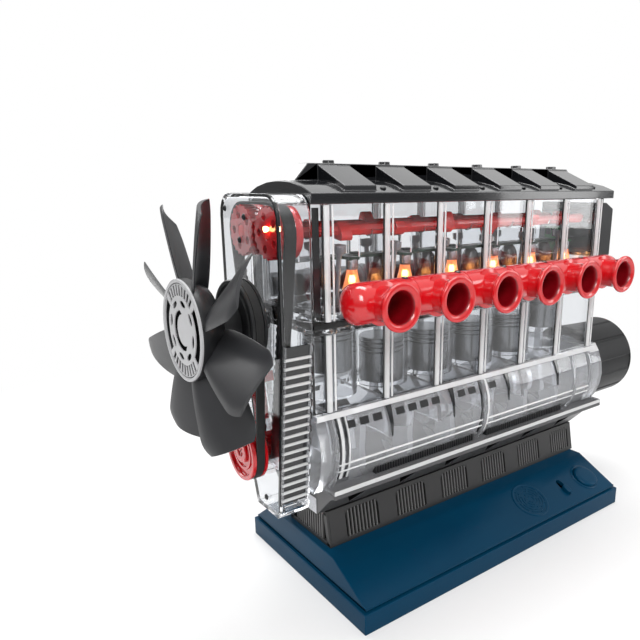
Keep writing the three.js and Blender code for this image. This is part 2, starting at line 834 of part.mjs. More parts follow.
// Clear crankcase: a barrel round the crank, with hoops, bearing bulkheads, a top rail and a bottom lip
function makeCrankcase() {
  const barrel = rodX(crankcaseRadius, -frontFace, crankcaseRear, 0, crankHeight, barrelSides);
  const hoopPlaces = [bearingX(0), bearingX(3), bearingX(6) - cylinderPitch / 2, bearingX(6)];
  const hoops = hoopPlaces.map((x) =>
    rodX(crankcaseRadius + hoopRise, x - hoopWidth / 2, x + hoopWidth / 2, 0, crankHeight, barrelSides),
  );
  const rail = box(-frontFace, headRear, -railHalfWidth, railHalfWidth, blockBottom - railThickness, blockBottom);
  const lip = box(-lipFront, crankcaseRear, -lipHalfWidth, lipHalfWidth, lipBottom, lipTop);
  const slabTop = box(
    -frontFace - overrun, crankcaseRear + overrun, -2 * crankcaseRadius, 2 * crankcaseRadius,
    blockBottom, blockBottom + crankcaseRadius,
  );
  const slabBottom = box(
    -frontFace - overrun, crankcaseRear + overrun, -2 * crankcaseRadius, 2 * crankcaseRadius,
    crankHeight - 2 * crankcaseRadius, lipBottom,
  );
  const hollow = rodX(
    crankcaseRadius - crankcaseWall, bearingX(0) - saddleThickness / 2 - seatGap, crankcaseRear - crankcaseWall,
    0, crankHeight, barrelSides,
  );
  const outside = cut(join(barrel, hoops, rail, lip), slabTop, slabBottom, hollow);
  const bulkheads = Array.from({ length: cylinderCount + 1 }, (_, k) =>
    cut(
      rodX(
        crankcaseRadius - crankcaseWall / 2, bearingX(k) - bulkheadThickness / 2,
        bearingX(k) + bulkheadThickness / 2, 0, crankHeight, barrelSides,
      ),
      slabTop,
      box(
        -frontFace, crankcaseRear, -crankcaseRadius, crankcaseRadius,
        crankHeight - crankcaseRadius, crankHeight,
      ),
    ),
  );
  const journalBore = boreX(
    journalRadius + runningGap, -frontFace - overrun, crankcaseRear + overrun, 0, crankHeight, middleSides,
  );
  return cut(join(outside, bulkheads), journalBore);
}

// Clear cylinder block: an outer box with ribs and a deck from which six liners hang
function wallRibs(x, zFrom, zTo) {
  const half = wallRibWidth / 2;
  return [-1, 1].map((side) =>
    box(
      x - half, x + half,
      Math.min(side * (blockHalfWidth - blockWall / 2), side * (blockHalfWidth + wallRibDepth)),
      Math.max(side * (blockHalfWidth - blockWall / 2), side * (blockHalfWidth + wallRibDepth)),
      zFrom, zTo,
    ),
  );
}

function makeCylinderBlock() {
  const outer = box(-frontFace, blockRear, -blockHalfWidth, blockHalfWidth, blockBottom, deckHeight);
  const inner = box(
    -frontFace + blockWall, blockRear - blockWall, -blockHalfWidth + blockWall, blockHalfWidth - blockWall,
    blockBottom - overrun, deckHeight - flangeThickness,
  );
  const deck = box(-frontFace, blockRear, -flangeHalfWidth, flangeHalfWidth, deckHeight - flangeThickness, deckHeight);
  const ribs = [];
  const liners = [];
  const bores = [];
  for (let k = 0; k <= cylinderCount; k += 1) {
    ribs.push(...wallRibs(bearingX(k), blockBottom, deckHeight - flangeThickness / 2));
    if (k < cylinderCount) {
      const place = [cylinderX(k), 0, roundSides];
      liners.push(rodZ(boreRadius + linerWall, blockBottom, deckHeight - flangeThickness / 2, ...place));
      bores.push(boreZ(boreRadius, blockBottom - overrun, deckHeight + overrun, ...place));
    }
  }
  return cut(join(cut(outer, inner), deck, ribs, liners), bores);
}

// Clear cylinder head: an open-topped box with combustion chambers and half-round camshaft saddles
function tilted(geometry, x, side) {
  const place = new THREE.Matrix4().makeRotationX(-side * valveTilt);
  place.setPosition(x, side * valveSeatSpread, deckHeight);
  return geometry.applyMatrix4(place);
}

function valvePocket() {
  const fit = (radius) => outside(radius + runningGap, tinySides);
  const neck = valveRecess + valveHeadThickness + runningGap;
  const top = neck + valveConeHeight + 2 * headFloor;
  return turnedZ(
    [
      [0, -overrun],
      [fit(valveHeadRadius), -overrun],
      [fit(valveHeadRadius), neck],
      [fit(valveStemRadius), neck + valveConeHeight],
      [fit(valveStemRadius), top],
      [0, top],
    ],
    tinySides,
  );
}

function makeCylinderHead() {
  const outer = box(-frontFace, headRear, -blockHalfWidth, blockHalfWidth, deckHeight, headTop);
  const inner = box(
    -frontFace + blockWall, headRear - blockWall, -blockHalfWidth + blockWall, blockHalfWidth - blockWall,
    deckHeight + chamberDepth + headFloor, headTop + overrun,
  );
  const flange = box(
    -frontFace, headRear, -flangeHalfWidth, flangeHalfWidth, deckHeight, deckHeight + flangeThickness,
  );
  const ribs = [];
  const bulkheads = [];
  const holes = [];
  for (let k = 0; k <= cylinderCount; k += 1) {
    const x = bearingX(k);
    ribs.push(...wallRibs(x, deckHeight + flangeThickness / 2, headTop));
    const outline = mirrored([
      [blockHalfWidth - blockWall / 2, deckHeight + flangeThickness],
      [blockHalfWidth - blockWall / 2, camHeight],
      [boardHalfWidth + boardSideGap, camHeight],
      [boardHalfWidth + boardSideGap, boardHeight],
    ]);
    bulkheads.push(alongX(outline, x - bulkheadThickness / 2, x + bulkheadThickness / 2));
  }
  for (let k = 0; k < cylinderCount; k += 1) {
    const x = cylinderX(k);
    const roof = deckHeight + chamberDepth;
    holes.push(rodZ(chamberRadius, deckHeight - overrun, roof, x, 0, middleSides));
    holes.push(boreZ(plugHoleRadius, deckHeight, roof + 2 * headFloor, x, 0, tinySides));
    holes.push(tilted(valvePocket(), x, -1), tilted(valvePocket(), x, 1));
  }
  const camBores = [-1, 1].map((side) =>
    boreX(
      camJournalRadius + runningGap, -frontFace - overrun, bearingX(cylinderCount) + bulkheadThickness,
      side * camSpread, camHeight, smallSides,
    ),
  );
  return cut(join(cut(outer, inner), flange, ribs, bulkheads), holes, camBores);
}

// Black valve cover: an arched lid with a raised ridge and six pairs of cross ribs
function coverArch(inset) {
  const lipTopHeight = headTop + coverLipHeight - inset;
  return mirrored([
    [coverHalfWidth - inset, headTop],
    [coverHalfWidth - inset, lipTopHeight],
    [coverHalfWidth * 0.72, lipTopHeight + coverArchHeight * 0.56],
    [coverHalfWidth * 0.38, lipTopHeight + coverArchHeight * 0.9],
    [ridgeHalfWidth / 2, lipTopHeight + coverArchHeight],
  ]);
}

function makeValveCover() {
  const front = -frontFace + seatGap;
  const shell = alongX(coverArch(0), front, coverRear);
  const hollow = alongX(coverArch(coverWall), front + coverWall, coverRear - coverWall);
  const lipTopHeight = headTop + coverLipHeight;
  const ridgeFoot = lipTopHeight + coverArchHeight / 2;
  const ridge = alongY(
    [
      [-ridgeFront - ridgeRamp, ridgeFoot],
      [ridgeRear + ridgeRamp, ridgeFoot],
      [ridgeRear, ridgeHeight],
      [-ridgeFront, ridgeHeight],
    ],
    -ridgeHalfWidth,
    ridgeHalfWidth,
  );
  const ribs = [];
  const ribEdge = coverHalfWidth - coverRibInset;
  for (let k = 0; k < cylinderCount; k += 1) {
    const x = cylinderX(k) + coverRibOffset;
    const outline = mirrored([
      [ribEdge, lipTopHeight - coverWall / 2],
      [ribEdge, lipTopHeight + coverRibStep],
      [ridgeHalfWidth, ridgeHeight - coverRibStep / 4],
    ]);
    ribs.push(alongX(outline, x - coverRibWidth / 2, x + coverRibWidth / 2));
    ribs.push(rodZ(coverNutRadius, ridgeHeight - overrun, ridgeHeight + coverNutHeight, x, 0, 6));
  }
  return cut(join(shell, ridge, ribs), hollow);
}

// Clear timing cover with a ladder of ribs down both sides
function ladder(from, to, count, depth) {
  const [a, b] = [new THREE.Vector2(...from), new THREE.Vector2(...to)];
  const along = b.clone().sub(a);
  const out = new THREE.Vector2(along.y, -along.x).normalize().multiplyScalar(depth);
  return Array.from({ length: count }, (_, i) => {
    const points = [0.25, 0.25, 0.75, 0.75].map((share) => a.clone().addScaledVector(along, (i + share) / count));
    points[1].add(out);
    points[2].add(out);
    return points.map((p) => [p.x, p.y]);
  }).flat();
}

function timingOutline(inset, withLadder) {
  const waist = deckHeight - timingWaistDrop;
  const bottom = crankHeight - timingFootDrop;
  const near = [
    [-timingHalfWidth + inset, waist],
    [-timingFootHalfWidth + inset, bottom + inset + timingWall],
  ];
  const far = [
    [timingFarKneeHalfWidth - inset, crankHeight - timingFarKneeDrop],
    [timingHalfWidth - inset, waist],
  ];
  const top = timingTop - inset;
  const side = timingHalfWidth - inset;
  const radius = timingCorner - inset;
  const rungs = (pair) => (withLadder ? ladder(...pair, ladderCount, ladderDepth) : []);
  return [
    [-timingFootHalfWidth + timingWall + inset, bottom + inset],
    [timingFarFootHalfWidth - inset, bottom + inset],
    far[0],
    ...rungs(far),
    far[1],
    ...arc(side - radius, top - radius, radius, 0, turn / 4, 5),
    ...arc(-side + radius, top - radius, radius, turn / 4, turn / 2, 5),
    near[0],
    ...rungs(near),
    near[1],
  ];
}

function makeTimingCover() {
  const ladderBack = -frontFace - seatGap;
  const body = alongX(timingOutline(0, true), timingFace + timingWall, ladderBack);
  const face = alongX(timingOutline(0, false), timingFace, timingFace + timingWall + weldDistance);
  const hollow = alongX(timingOutline(timingWall, false), timingFace + timingWall, ladderBack + overrun);
  const boss = rodX(
    fanBossRadius, timingFace - fanBossNose, timingFace + fanBossDepth, 0, fanHeight, middleSides,
  );
  const bossBore = boreX(
    fanShaftRadius + runningGap, timingFace - fanBossNose - overrun, timingFace + fanBossDepth + overrun,
    0, fanHeight, middleSides,
  );
  const crankBore = boreX(
    journalRadius + runningGap, timingFace - overrun, timingFace + timingWall + overrun,
    0, crankHeight, middleSides,
  );
  return cut(join(cut(join(body, face), hollow), boss), bossBore, crankBore);
}

// Bell housing with lengthwise ribs, and the box behind the head
function makeBellHousing() {
  const ribbed = toothedRing(bellRibCount, bellRadius, bellRadius - bellRibDepth, 0.7);
  const barrel = alongX(ribbed, crankcaseRear, bellRear - bellBevel).translate(0, 0, crankHeight);
  const cap = turnedX(
    [
      [0, bellRear - bellBevel - weldDistance],
      [bellRadius - bellRibDepth, bellRear - bellBevel - weldDistance],
      [bellRadius - bellBevel, bellRear],
      [0, bellRear],
    ],
    roundSides, 0, crankHeight,
  );
  const ring = rodX(bellRadius + bellRibDepth * 2, crankcaseRear, crankcaseRear + bellBevel, 0, crankHeight, roundSides);
  const hollow = turnedX(
    [
      [0, crankcaseRear - overrun],
      [bellRadius - bellWall, crankcaseRear - overrun],
      [bellRadius - bellWall, bellRear - bellWall - bellBevel],
      [bellRadius - bellWall - bellBevel, bellRear - bellWall],
      [0, bellRear - bellWall],
    ],
    roundSides, 0, crankHeight,
  );
  const ears = [0, 1, 2, 3].map((i) => {
    const angle = ((i + 0.5) * turn) / 4;
    const reach = bellRadius + bellEarRadius / 4;
    return rodX(
      bellEarRadius, crankcaseRear, crankcaseRear + bellBevel,
      reach * Math.cos(angle), crankHeight + reach * Math.sin(angle), smallSides,
    );
  });
  return cut(join(barrel, cap, ring, ears), hollow);
}

function makeRearBox() {
  const front = headRear + seatGap;
  const rear = front + rearBoxDepth;
  const top = headTop - rearBoxDrop;
  const bottom = top - rearBoxHeight;
  const outline = (inset) => [
    [front - (inset ? overrun : 0), bottom + inset],
    [rear - inset, bottom + inset],
    [rear - inset, top - rearBoxChamfer - inset / 2],
    [rear - rearBoxChamfer * 2 - inset / 2, top - inset],
    [front - (inset ? overrun : 0), top - inset],
  ];
  return cut(
    alongY(outline(0), -rearBoxHalfWidth, rearBoxHalfWidth),
    alongY(outline(rearBoxWall), -rearBoxHalfWidth + rearBoxWall, rearBoxHalfWidth - rearBoxWall),
  );
}

// Intake manifold: a log with six flared trumpets facing out and six branches to the head
function makeIntakeManifold() {
  const logFront = cylinderX(0) - logFrontOverhang;
  const logRear = cylinderX(cylinderCount - 1) + logRearOverhang;
  const dome = logRadius * 0.55;
  const log = turnedX(
    [
      [0, logFront - dome],
      [logRadius * 0.55, logFront - dome * 0.8],
      [logRadius * 0.88, logFront - dome * 0.4],
      [logRadius, logFront],
      [logRadius, logRear],
      [logRadius * 0.8, logRear + dome * 0.5],
      [0, logRear + dome * 0.5],
    ],
    roundSides, -logReach, logHeight,
  );
  const outer = [log];
  const mouths = [];
  const flare = (trumpetReach - logReach - logRadius * 0.6) / 3;
  const rimBack = -trumpetReach + trumpetRimThickness;
  for (let k = 0; k < cylinderCount; k += 1) {
    const x = cylinderX(k);
    const trumpet = [
      [0, -trumpetReach],
      [trumpetRimRadius, -trumpetReach],
      [trumpetRimRadius, rimBack],
      [(trumpetRimRadius + trumpetNeckRadius) / 2, rimBack + flare * 0.5],
      [trumpetNeckRadius, rimBack + flare * 1.4],
      [trumpetNeckRadius, -logReach],
      [0, -logReach],
    ];
    const mouth = [
      [0, -trumpetReach - overrun],
      [trumpetMouthRadius, -trumpetReach - overrun],
      [trumpetMouthRadius, -trumpetReach],
      [trumpetBoreRadius, -trumpetReach + flare * 1.3],
      [trumpetBoreRadius, -logReach],
      [0, -logReach],
    ];
    outer.push(turnedY(trumpet, roundSides, x, logHeight), runner(x, -1, -logReach, logHeight, runnerRadius));
    mouths.push(turnedY(mouth, middleSides, x, logHeight));
  }
  return cut(join(outer), mouths);
}

// One branch from a manifold to the head, with its bolting flange
function runner(x, side, reach, z, radius) {
  const wall = side * (blockHalfWidth + seatGap);
  const profile = [
    [0, wall],
    [runnerFlangeRadius, wall],
    [runnerFlangeRadius, wall + side * runnerFlangeThickness],
    [radius, wall + side * runnerFlangeThickness],
    [radius, reach],
    [0, reach],
  ];
  return turnedY(side < 0 ? profile.reverse() : profile, smallSides, x, z);
}

function makeExhaustManifold() {
  const from = cylinderX(0) - exhaustOverhang;
  const to = cylinderX(cylinderCount - 1) + exhaustOverhang;
  const log = turnedX(
    [
      [0, from],
      [exhaustRadius * 0.7, from],
      [exhaustRadius, from + exhaustRadius * 0.3],
      [exhaustRadius, to],
      [exhaustOutletRadius, to],
      [exhaustOutletRadius, to + exhaustOutletLength],
      [0, to + exhaustOutletLength],
    ],
    middleSides, exhaustReach, exhaustHeight,
  );
  const bore = rodX(
    exhaustBoreRadius, to - exhaustOverhang, to + exhaustOutletLength + overrun,
    exhaustReach, exhaustHeight, middleSides,
  );
  const stubs = Array.from({ length: cylinderCount }, (_, k) =>
    runner(cylinderX(k), 1, exhaustReach, exhaustHeight, exhaustRunnerRadius),
  );
  return cut(join(log, stubs), bore);
}

// Light board: a strip along the head with six plug-shaped lights and an upright panel at the rear
function makeLightBoard() {
  const first = bearingX(0) - bulkheadThickness / 2;
  const last = bearingX(cylinderCount) + bulkheadThickness / 2;
  const boardTop = boardHeight + boardThickness;
  const strip = box(first, last, -boardHalfWidth, boardHalfWidth, boardHeight, boardTop);
  const plugs = Array.from({ length: cylinderCount }, (_, k) =>
    turnedZ(
      [
        [0, deckHeight + plugTipRise],
        [plugTipRadius, deckHeight + plugTipRise],
        [plugTipRadius, boardHeight - plugCupLength],
        [plugNeckRadius, boardHeight - plugCupLength],
        [plugCupTopRadius, boardHeight - plugCupLength / 4],
        [plugCupTopRadius, boardHeight + boardThickness / 2],
        [0, boardHeight + boardThickness / 2],
      ],
      smallSides, cylinderX(k), 0,
    ),
  );
  const panelRear = last - bulkheadThickness - seatGap;
  const panel = box(
    panelRear - boardPanelLength + bulkheadThickness, panelRear,
    -boardThickness / 2, boardThickness / 2,
    boardTop + boardPanelRise - boardPanelHeight, boardTop + boardPanelRise,
  );
  return join(strip, plugs, panel);
}

// Crankshaft with six throws at 120 degrees
function crankWeb(phase) {
  const half = Math.asin(webRadius / counterweightRadius) * 1.6;
  const outline = [
    ...arc(0, throwRadius, webRadius, 0, turn / 2, 5),
    ...arc(0, 0, counterweightRadius, (turn * 3) / 4 - half, (turn * 3) / 4 + half, 5),
  ];
  const [c, s] = [Math.cos(phase), Math.sin(phase)];
  return outline.map(([y, z]) => [y * c - z * s, y * s + z * c]);
}

function makeCrankshaft() {
  const rear = crankcaseRear + runningGap;
  const webOuter = crankpinLength / 2 + webThickness;
  const steps = [
    rodX(snoutRadius, beltPlane, -frontFace + webThickness, 0, 0, middleSides),
    rodX(journalRadius, -frontFace - runningGap, cylinderX(0) - webOuter + overrun, 0, 0, middleSides),
    rodX(journalRadius, cylinderX(cylinderCount - 1) + webOuter - overrun, rear, 0, 0, middleSides),
    rodX(crankFlangeRadius, rear, rear + crankFlangeThickness, 0, 0, middleSides),
  ];
  for (let k = 0; k < cylinderCount; k += 1) {
    const x = cylinderX(k);
    const phase = throwTurn(k);
    const pinY = -throwRadius * Math.sin(phase);
    const pinZ = throwRadius * Math.cos(phase);
    steps.push(alongX(crankWeb(phase), x - webOuter, x - crankpinLength / 2));
    steps.push(alongX(crankWeb(phase), x + crankpinLength / 2, x + webOuter));
    const halfPin = crankpinLength / 2 + webThickness / 2;
    steps.push(rodX(crankpinRadius, x - halfPin, x + halfPin, pinY, pinZ, middleSides));
    if (k < cylinderCount - 1) {
      const next = cylinderX(k + 1) - webOuter + webThickness / 2;
      steps.push(rodX(journalRadius, x + webOuter - webThickness / 2, next, 0, 0, middleSides));
    }
  }
  return cut(join(steps), dowelHoles());
}

// The dowels stand halfway out to the throws, one for each pair of throws
function dowelPlace(i) {
  const angle = (i * turn) / dowelCount;
  return [(-throwRadius / 2) * Math.sin(angle), (throwRadius / 2) * Math.cos(angle)];
}

function dowelHoles() {
  const from = crankcaseRear + runningGap + dowelInset;
  const to = gearFace + driveGearWidth + overrun;
  return Array.from({ length: dowelCount }, (_, i) =>
    boreX(dowelRadius + runningGap, from, to, ...dowelPlace(i), tinySides),
  );
}

function makeDowel() {
  const from = crankcaseRear + runningGap + dowelInset + runningGap;
  return rodX(dowelRadius, from, gearFace + driveGearWidth - dowelInset, 0, 0, tinySides);
}

function makeFlywheel() {
  const pitchRadius = (gearModule * driveGearTeeth) / 2;
  const disc = turnedX(
    [
      [0, flywheelFace],
      [flywheelRadius - flywheelThickness / 4, flywheelFace],
      [flywheelRadius, flywheelFace + flywheelThickness / 4],
      [flywheelRadius, gearFace],
      [0, gearFace],
    ],
    roundSides,
  );
  const ring = toothedRing(
    driveGearTeeth, pitchRadius + gearModule - gearBacklash, pitchRadius - gearModule - gearBacklash,
    gearToothShare, -turn / 4,
  );
  const gear = alongX(ring, gearFace - flywheelThickness / 4, gearFace + driveGearWidth);
  return cut(join(disc, gear), dowelHoles());
}

function makeMotorPinion() {
  const pitchRadius = (gearModule * pinionTeeth) / 2;
  const ring = toothedRing(
    pinionTeeth, pitchRadius + gearModule - gearBacklash, pitchRadius - gearModule - gearBacklash,
    gearToothShare, turn / 4 + turn / (2 * pinionTeeth),
  );
  const gear = alongX(ring, gearFace + runningGap, gearFace + driveGearWidth);
  const shaft = rodX(motorShaftRadius, gearFace + driveGearWidth / 2, motorFace + motorShaftDepth, 0, 0, smallSides);
  return join(gear, shaft);
}

function makeMotor() {
  const can = turnedX(
    [
      [0, motorFace - motorNoseLength],
      [motorNoseRadius, motorFace - motorNoseLength],
      [motorNoseRadius, motorFace],
      [motorRadius - motorNoseLength, motorFace],
      [motorRadius, motorFace + motorNoseLength],
      [motorRadius, motorRear],
      [0, motorRear],
    ],
    roundSides,
  );
  const shaftHole = boreX(
    motorShaftRadius + runningGap, motorFace - motorNoseLength - overrun,
    motorFace + motorShaftDepth + runningGap, 0, 0, smallSides,
  );
  return cut(can, shaftHole);
}

// Connecting rod, drawn from its big end up, and piston, drawn about its wrist pin
function makeRod() {
  const bigHalf = rodBigEndThickness / 2;
  const smallHalf = rodSmallEndThickness / 2;
  const shankHalf = rodShankThickness / 2;
  const bigEnd = rodX(rodBigEndRadius, -bigHalf, bigHalf, 0, 0, middleSides);
  const smallEnd = rodX(rodSmallEndRadius, -smallHalf, smallHalf, 0, rodLength, smallSides);
  const shank = alongX(
    mirrored([
      [rodShankWidth / 2, rodBigEndRadius * 0.8],
      [rodShankWidth * 0.42, rodLength - rodSmallEndRadius * 0.6],
    ]),
    -shankHalf,
    shankHalf,
  );
  const bigBore = boreX(crankpinRadius + runningGap, -bigHalf - overrun, bigHalf + overrun, 0, 0, middleSides);
  return cut(join(bigEnd, smallEnd, shank), bigBore);
}

function makePiston() {
  const radius = pistonRadius;
  const top = pistonCrownAbovePin;
  const bottom = top - pistonHeight;
  const groove = (n) => {
    const upper = top - ringGroovePitch * (n + 0.7);
    const floor = radius - ringGrooveDepth;
    return [[radius, upper], [floor, upper], [floor, upper - ringGrooveWidth], [radius, upper - ringGrooveWidth]];
  };
  const profile = [
    [0, top],
    [radius, top],
    ...groove(0),
    ...groove(1),
    [radius, bottom],
    [0, bottom],
  ];
  const body = turnedZ(profile, pistonSides);
  const hollow = rodZ(pistonInnerRadius, bottom - overrun, top - pistonCrown, 0, 0, pistonSides);
  const inside = radius - pistonWall / 2;
  const slotHalf = rodSmallEndThickness / 2 + bossClearance;
  const bosses = [
    rodX(bossRadius, -inside, -slotHalf, 0, 0, tinySides),
    rodX(bossRadius, slotHalf, inside, 0, 0, tinySides),
  ];
  return join(cut(body, hollow), bosses);
}

// Camshafts and valves
function camLobe(phase) {
  const spread = Math.acos((camBaseRadius - camNoseRadius) / camNoseReach);
  const outline = [
    ...arc(0, camNoseReach, camNoseRadius, turn / 4 - spread, turn / 4 + spread, 3),
    ...arc(0, 0, camBaseRadius, turn / 4 + spread, turn * 1.25 - spread, 5),
  ];
  const [c, s] = [Math.cos(phase), Math.sin(phase)];
  return outline.map(([y, z]) => [y * c - z * s, y * s + z * c]);
}

function makeCamshaft(phaseOffset) {
  const shaftRear = bearingX(cylinderCount) + bulkheadThickness / 2;
  const shaft = rodX(camJournalRadius, sprocketFace, shaftRear, 0, 0, smallSides);
  const lobes = cylinders.map((k) => {
    const half = camLobeWidth / 2;
    return alongX(camLobe(phaseOffset - firingTurn(k)), cylinderX(k) - half, cylinderX(k) + half);
  });
  return join(shaft, lobes);
}

function makeValve() {
  const neckTop = valveLength - tappetHeight - tappetNeck;
  return turnedZ(
    [
      [0, 0],
      [valveHeadRadius, 0],
      [valveHeadRadius, valveHeadThickness],
      [valveStemRadius, valveHeadThickness + valveConeHeight],
      [valveStemRadius, neckTop],
      [tappetRadius, neckTop + tappetNeck],
      [tappetRadius, valveLength],
      [0, valveLength],
    ],
    tinySides,
  );
}

// Toothed sprockets and the belt round them
function makeSprocket(teeth, radius, boreFit, holeCount) {
  const ring = toothedRing(teeth, radius, radius - sprocketToothDepth, 0.6);
  const bore = circle(0, 0, boreFit, smallSides);
  const holes = Array.from({ length: holeCount }, (_, i) => {
    const angle = (i * turn) / holeCount;
    const [y, z] = [sprocketHoleCircle * Math.cos(angle), sprocketHoleCircle * Math.sin(angle)];
    return circle(y, z, sprocketHoleRadius, tinySides);
  });
  return alongX(ring, sprocketFace, sprocketFace + sprocketWidth, [bore, ...holes]);
}

// The straight outer run between two circles, given as (Y,Z,radius), and the wrap round each circle
function tangentAngle([y0, z0, r0], [y1, z1, r1]) {
  const distance = Math.hypot(y1 - y0, z1 - z0);
  return Math.atan2(z1 - z0, y1 - y0) - Math.acos((r0 - r1) / distance);
}

function loopRound(circles, grow, toothRuns) {
  const wheels = circles.map(([y, z, radius]) => [y, z, radius + grow]);
  const angles = wheels.map((wheel, i) => tangentAngle(wheel, wheels[(i + 1) % wheels.length]));
  const points = [];
  wheels.forEach(([y, z, radius], i) => {
    const from = angles[(i + wheels.length - 1) % wheels.length];
    let to = angles[i];
    while (to < from) to += turn;
    const wrap = arc(y, z, radius, from, to, Math.max(3, Math.round((to - from) / 0.3)));
    points.push(...wrap);
    const [ny, nz, nr] = wheels[(i + 1) % wheels.length];
    if (toothRuns && toothRuns.includes(i)) {
      const start = new THREE.Vector2(...wrap[wrap.length - 1]);
      const end = new THREE.Vector2(ny + nr * Math.cos(angles[i]), nz + nr * Math.sin(angles[i]));
      const pitch = (turn * camSprocketRadius) / camTeeth;
      const length = start.distanceTo(end);
      const count = Math.floor(length / pitch) - 2;
      const lead = (length - count * pitch) / 2 / length;
      const first = start.clone().lerp(end, lead).toArray();
      const last = end.clone().lerp(start, lead).toArray();
      points.push(...ladder(first, last, count, -beltToothDepth));
    }
  });
  return points;
}

function makeTimingBelt() {
  const clear = runningGap + beltToothDepth;
  const wheels = [
    [0, crankHeight, crankSprocketRadius + clear],
    [camSpread, camHeight, camSprocketRadius + runningGap],
    [-camSpread, camHeight, camSprocketRadius + runningGap],
  ];
  const middle = sprocketFace + sprocketWidth / 2;
  const outline = loopRound(wheels, beltThickness);
  const inner = loopRound(wheels, 0, [0, 2]);
  return alongX(outline, middle - beltWidth / 2, middle + beltWidth / 2, [inner]);
}

function makeBeltGuide() {
  const clear = runningGap + beltToothDepth;
  const wheels = [
    [0, crankHeight, crankSprocketRadius + clear],
    [camSpread, camHeight, camSprocketRadius + runningGap],
  ];
  const angle = tangentAngle(...wheels);
  const [outY, outZ] = [Math.cos(angle), Math.sin(angle)];
  const reach = wheels[0][2] - beltToothDepth - runningGap;
  const barBottom = crankHeight + guideBarRise;
  const barTop = barBottom + guideBarLength;
  const at = (height, depth) => {
    const along = (height - crankHeight) / Math.cos(angle);
    return [(reach - depth) * outY - along * outZ, crankHeight + (reach - depth) * outZ + along * outY];
  };
  const bar = [
    at(barBottom, guideBarThickness),
    at(barBottom, 0),
    at(barTop, 0),
    at(barTop, guideBarThickness),
  ];
  const foot = [
    at(barTop - guideBarFoot, guideBarThickness),
    at(barTop - guideBarFoot, guideBarThickness / 4),
    at(barTop, guideBarThickness / 4),
    at(barTop, guideBarThickness),
  ];
  return join(
    alongX(bar, sprocketFace, sprocketFace + sprocketWidth),
    alongX(foot, sprocketFace, -frontFace - seatGap),
  );
}

// Pulleys, fan belt and fan
// The two pulleys share the belt's groove, written from the front face back
function groovedRim(radius) {
  const half = fanBeltWidth / 2 + pulleyGrooveMargin;
  const floor = radius - pulleyGrooveDepth;
  return [
    [radius, pulleyFront],
    [radius, beltPlane - half],
    [floor, beltPlane - half],
    [floor, beltPlane + half],
    [radius, beltPlane + half],
    [radius, pulleyBack],
  ];
}

function makeCrankPulley() {
  const bore = snoutRadius + runningGap;
  const boreEnd = beltPlane - runningGap;
  const ringIn = crankPulleyRadius - pulleyRingWidth;
  return turnedX(
    [
      [0, pulleyFront + pulleyFaceRecess / 2],
      [pulleyCoreRadius, pulleyFront + pulleyFaceRecess / 2],
      [pulleyCoreRadius, pulleyFront],
      [pulleyHubRadius, pulleyFront],
      [pulleyHubRadius, pulleyFront + pulleyFaceRecess],
      [ringIn, pulleyFront + pulleyFaceRecess],
      [ringIn, pulleyFront],
      ...groovedRim(crankPulleyRadius),
      [bore, pulleyBack],
      [bore, boreEnd],
      [0, boreEnd],
    ],
    roundSides,
  );
}

function makeFanPulley() {
  return turnedX(
    [
      [0, pulleyFront],
      ...groovedRim(fanPulleyRadius),
      [fanShaftRadius, pulleyBack],
      [fanShaftRadius, timingFace + fanBossDepth],
      [0, timingFace + fanBossDepth],
    ],
    roundSides,
  );
}

function makeFanBelt() {
  const depth = pulleyGrooveDepth - runningGap;
  const wheels = [
    [0, crankHeight, crankPulleyRadius - depth],
    [0, fanHeight, fanPulleyRadius - depth],
  ];
  const half = fanBeltWidth / 2;
  return alongX(loopRound(wheels, fanBeltThickness), beltPlane - half, beltPlane + half, [loopRound(wheels, 0)]);
}

// One fan blade as a lofted plate: chord, pitch and corner rounding change from root to tip
function fanBlade() {
  const stations = [0, 0.45, 0.88, 1];
  const trimShares = [0, 0, 0.03, 0.26];
  const across = 3;
  const front = [];
  const back = [];
  stations.forEach((share, i) => {
    const radius = fanBladeRoot + (fanTipRadius - fanBladeRoot) * share;
    const chord = (fanBladeRootChord + (fanBladeTipChord - fanBladeRootChord) * Math.sqrt(share)) * (1 - trimShares[i]);
    const pitch = THREE.MathUtils.degToRad(fanBladePitch - fanBladeTwist * (share - 0.5));
    const half = fanBladeThickness / 2;
    for (let n = 0; n <= across; n += 1) {
      const along = (n / across - 0.5) * chord;
      const cup = half * 3 * (1 - (2 * n / across - 1) ** 2);
      const y = along * Math.cos(pitch);
      const x = along * Math.sin(pitch) - cup;
      const z = Math.sqrt(Math.max(radius * radius - y * y, 0));
      front.push(new THREE.Vector3(x - half, y, z));
      back.push(new THREE.Vector3(x + half, y, z));
    }
  });
  const row = across + 1;
  const points = [...front, ...back];
  const offset = front.length;
  const triangles = [];
  const quad = (a, b, c, d) => triangles.push(a, b, c, a, c, d);
  for (let i = 0; i < stations.length - 1; i += 1) {
    for (let n = 0; n < across; n += 1) {
      const a = i * row + n;
      quad(a, a + 1, a + row + 1, a + row);
      quad(offset + a, offset + a + row, offset + a + row + 1, offset + a + 1);
    }
    const low = i * row;
    const high = low + across;
    quad(low, low + row, offset + low + row, offset + low);
    quad(high, offset + high, offset + high + row, high + row);
  }
  for (let n = 0; n < across; n += 1) {
    const tip = (stations.length - 1) * row + n;
    quad(n, offset + n, offset + n + 1, n + 1);
    quad(tip, tip + 1, offset + tip + 1, offset + tip);
  }
  const geometry = new THREE.BufferGeometry();
  geometry.setAttribute("position", new THREE.Float32BufferAttribute(points.flatMap((p) => p.toArray()), 3));
  geometry.setIndex(triangles);
  geometry.setAttribute("normal", new THREE.Float32BufferAttribute(new Array(points.length * 3).fill(0), 3));
  geometry.setAttribute("uv", new THREE.Float32BufferAttribute(new Array(points.length * 2).fill(0), 2));
  return geometry;
}

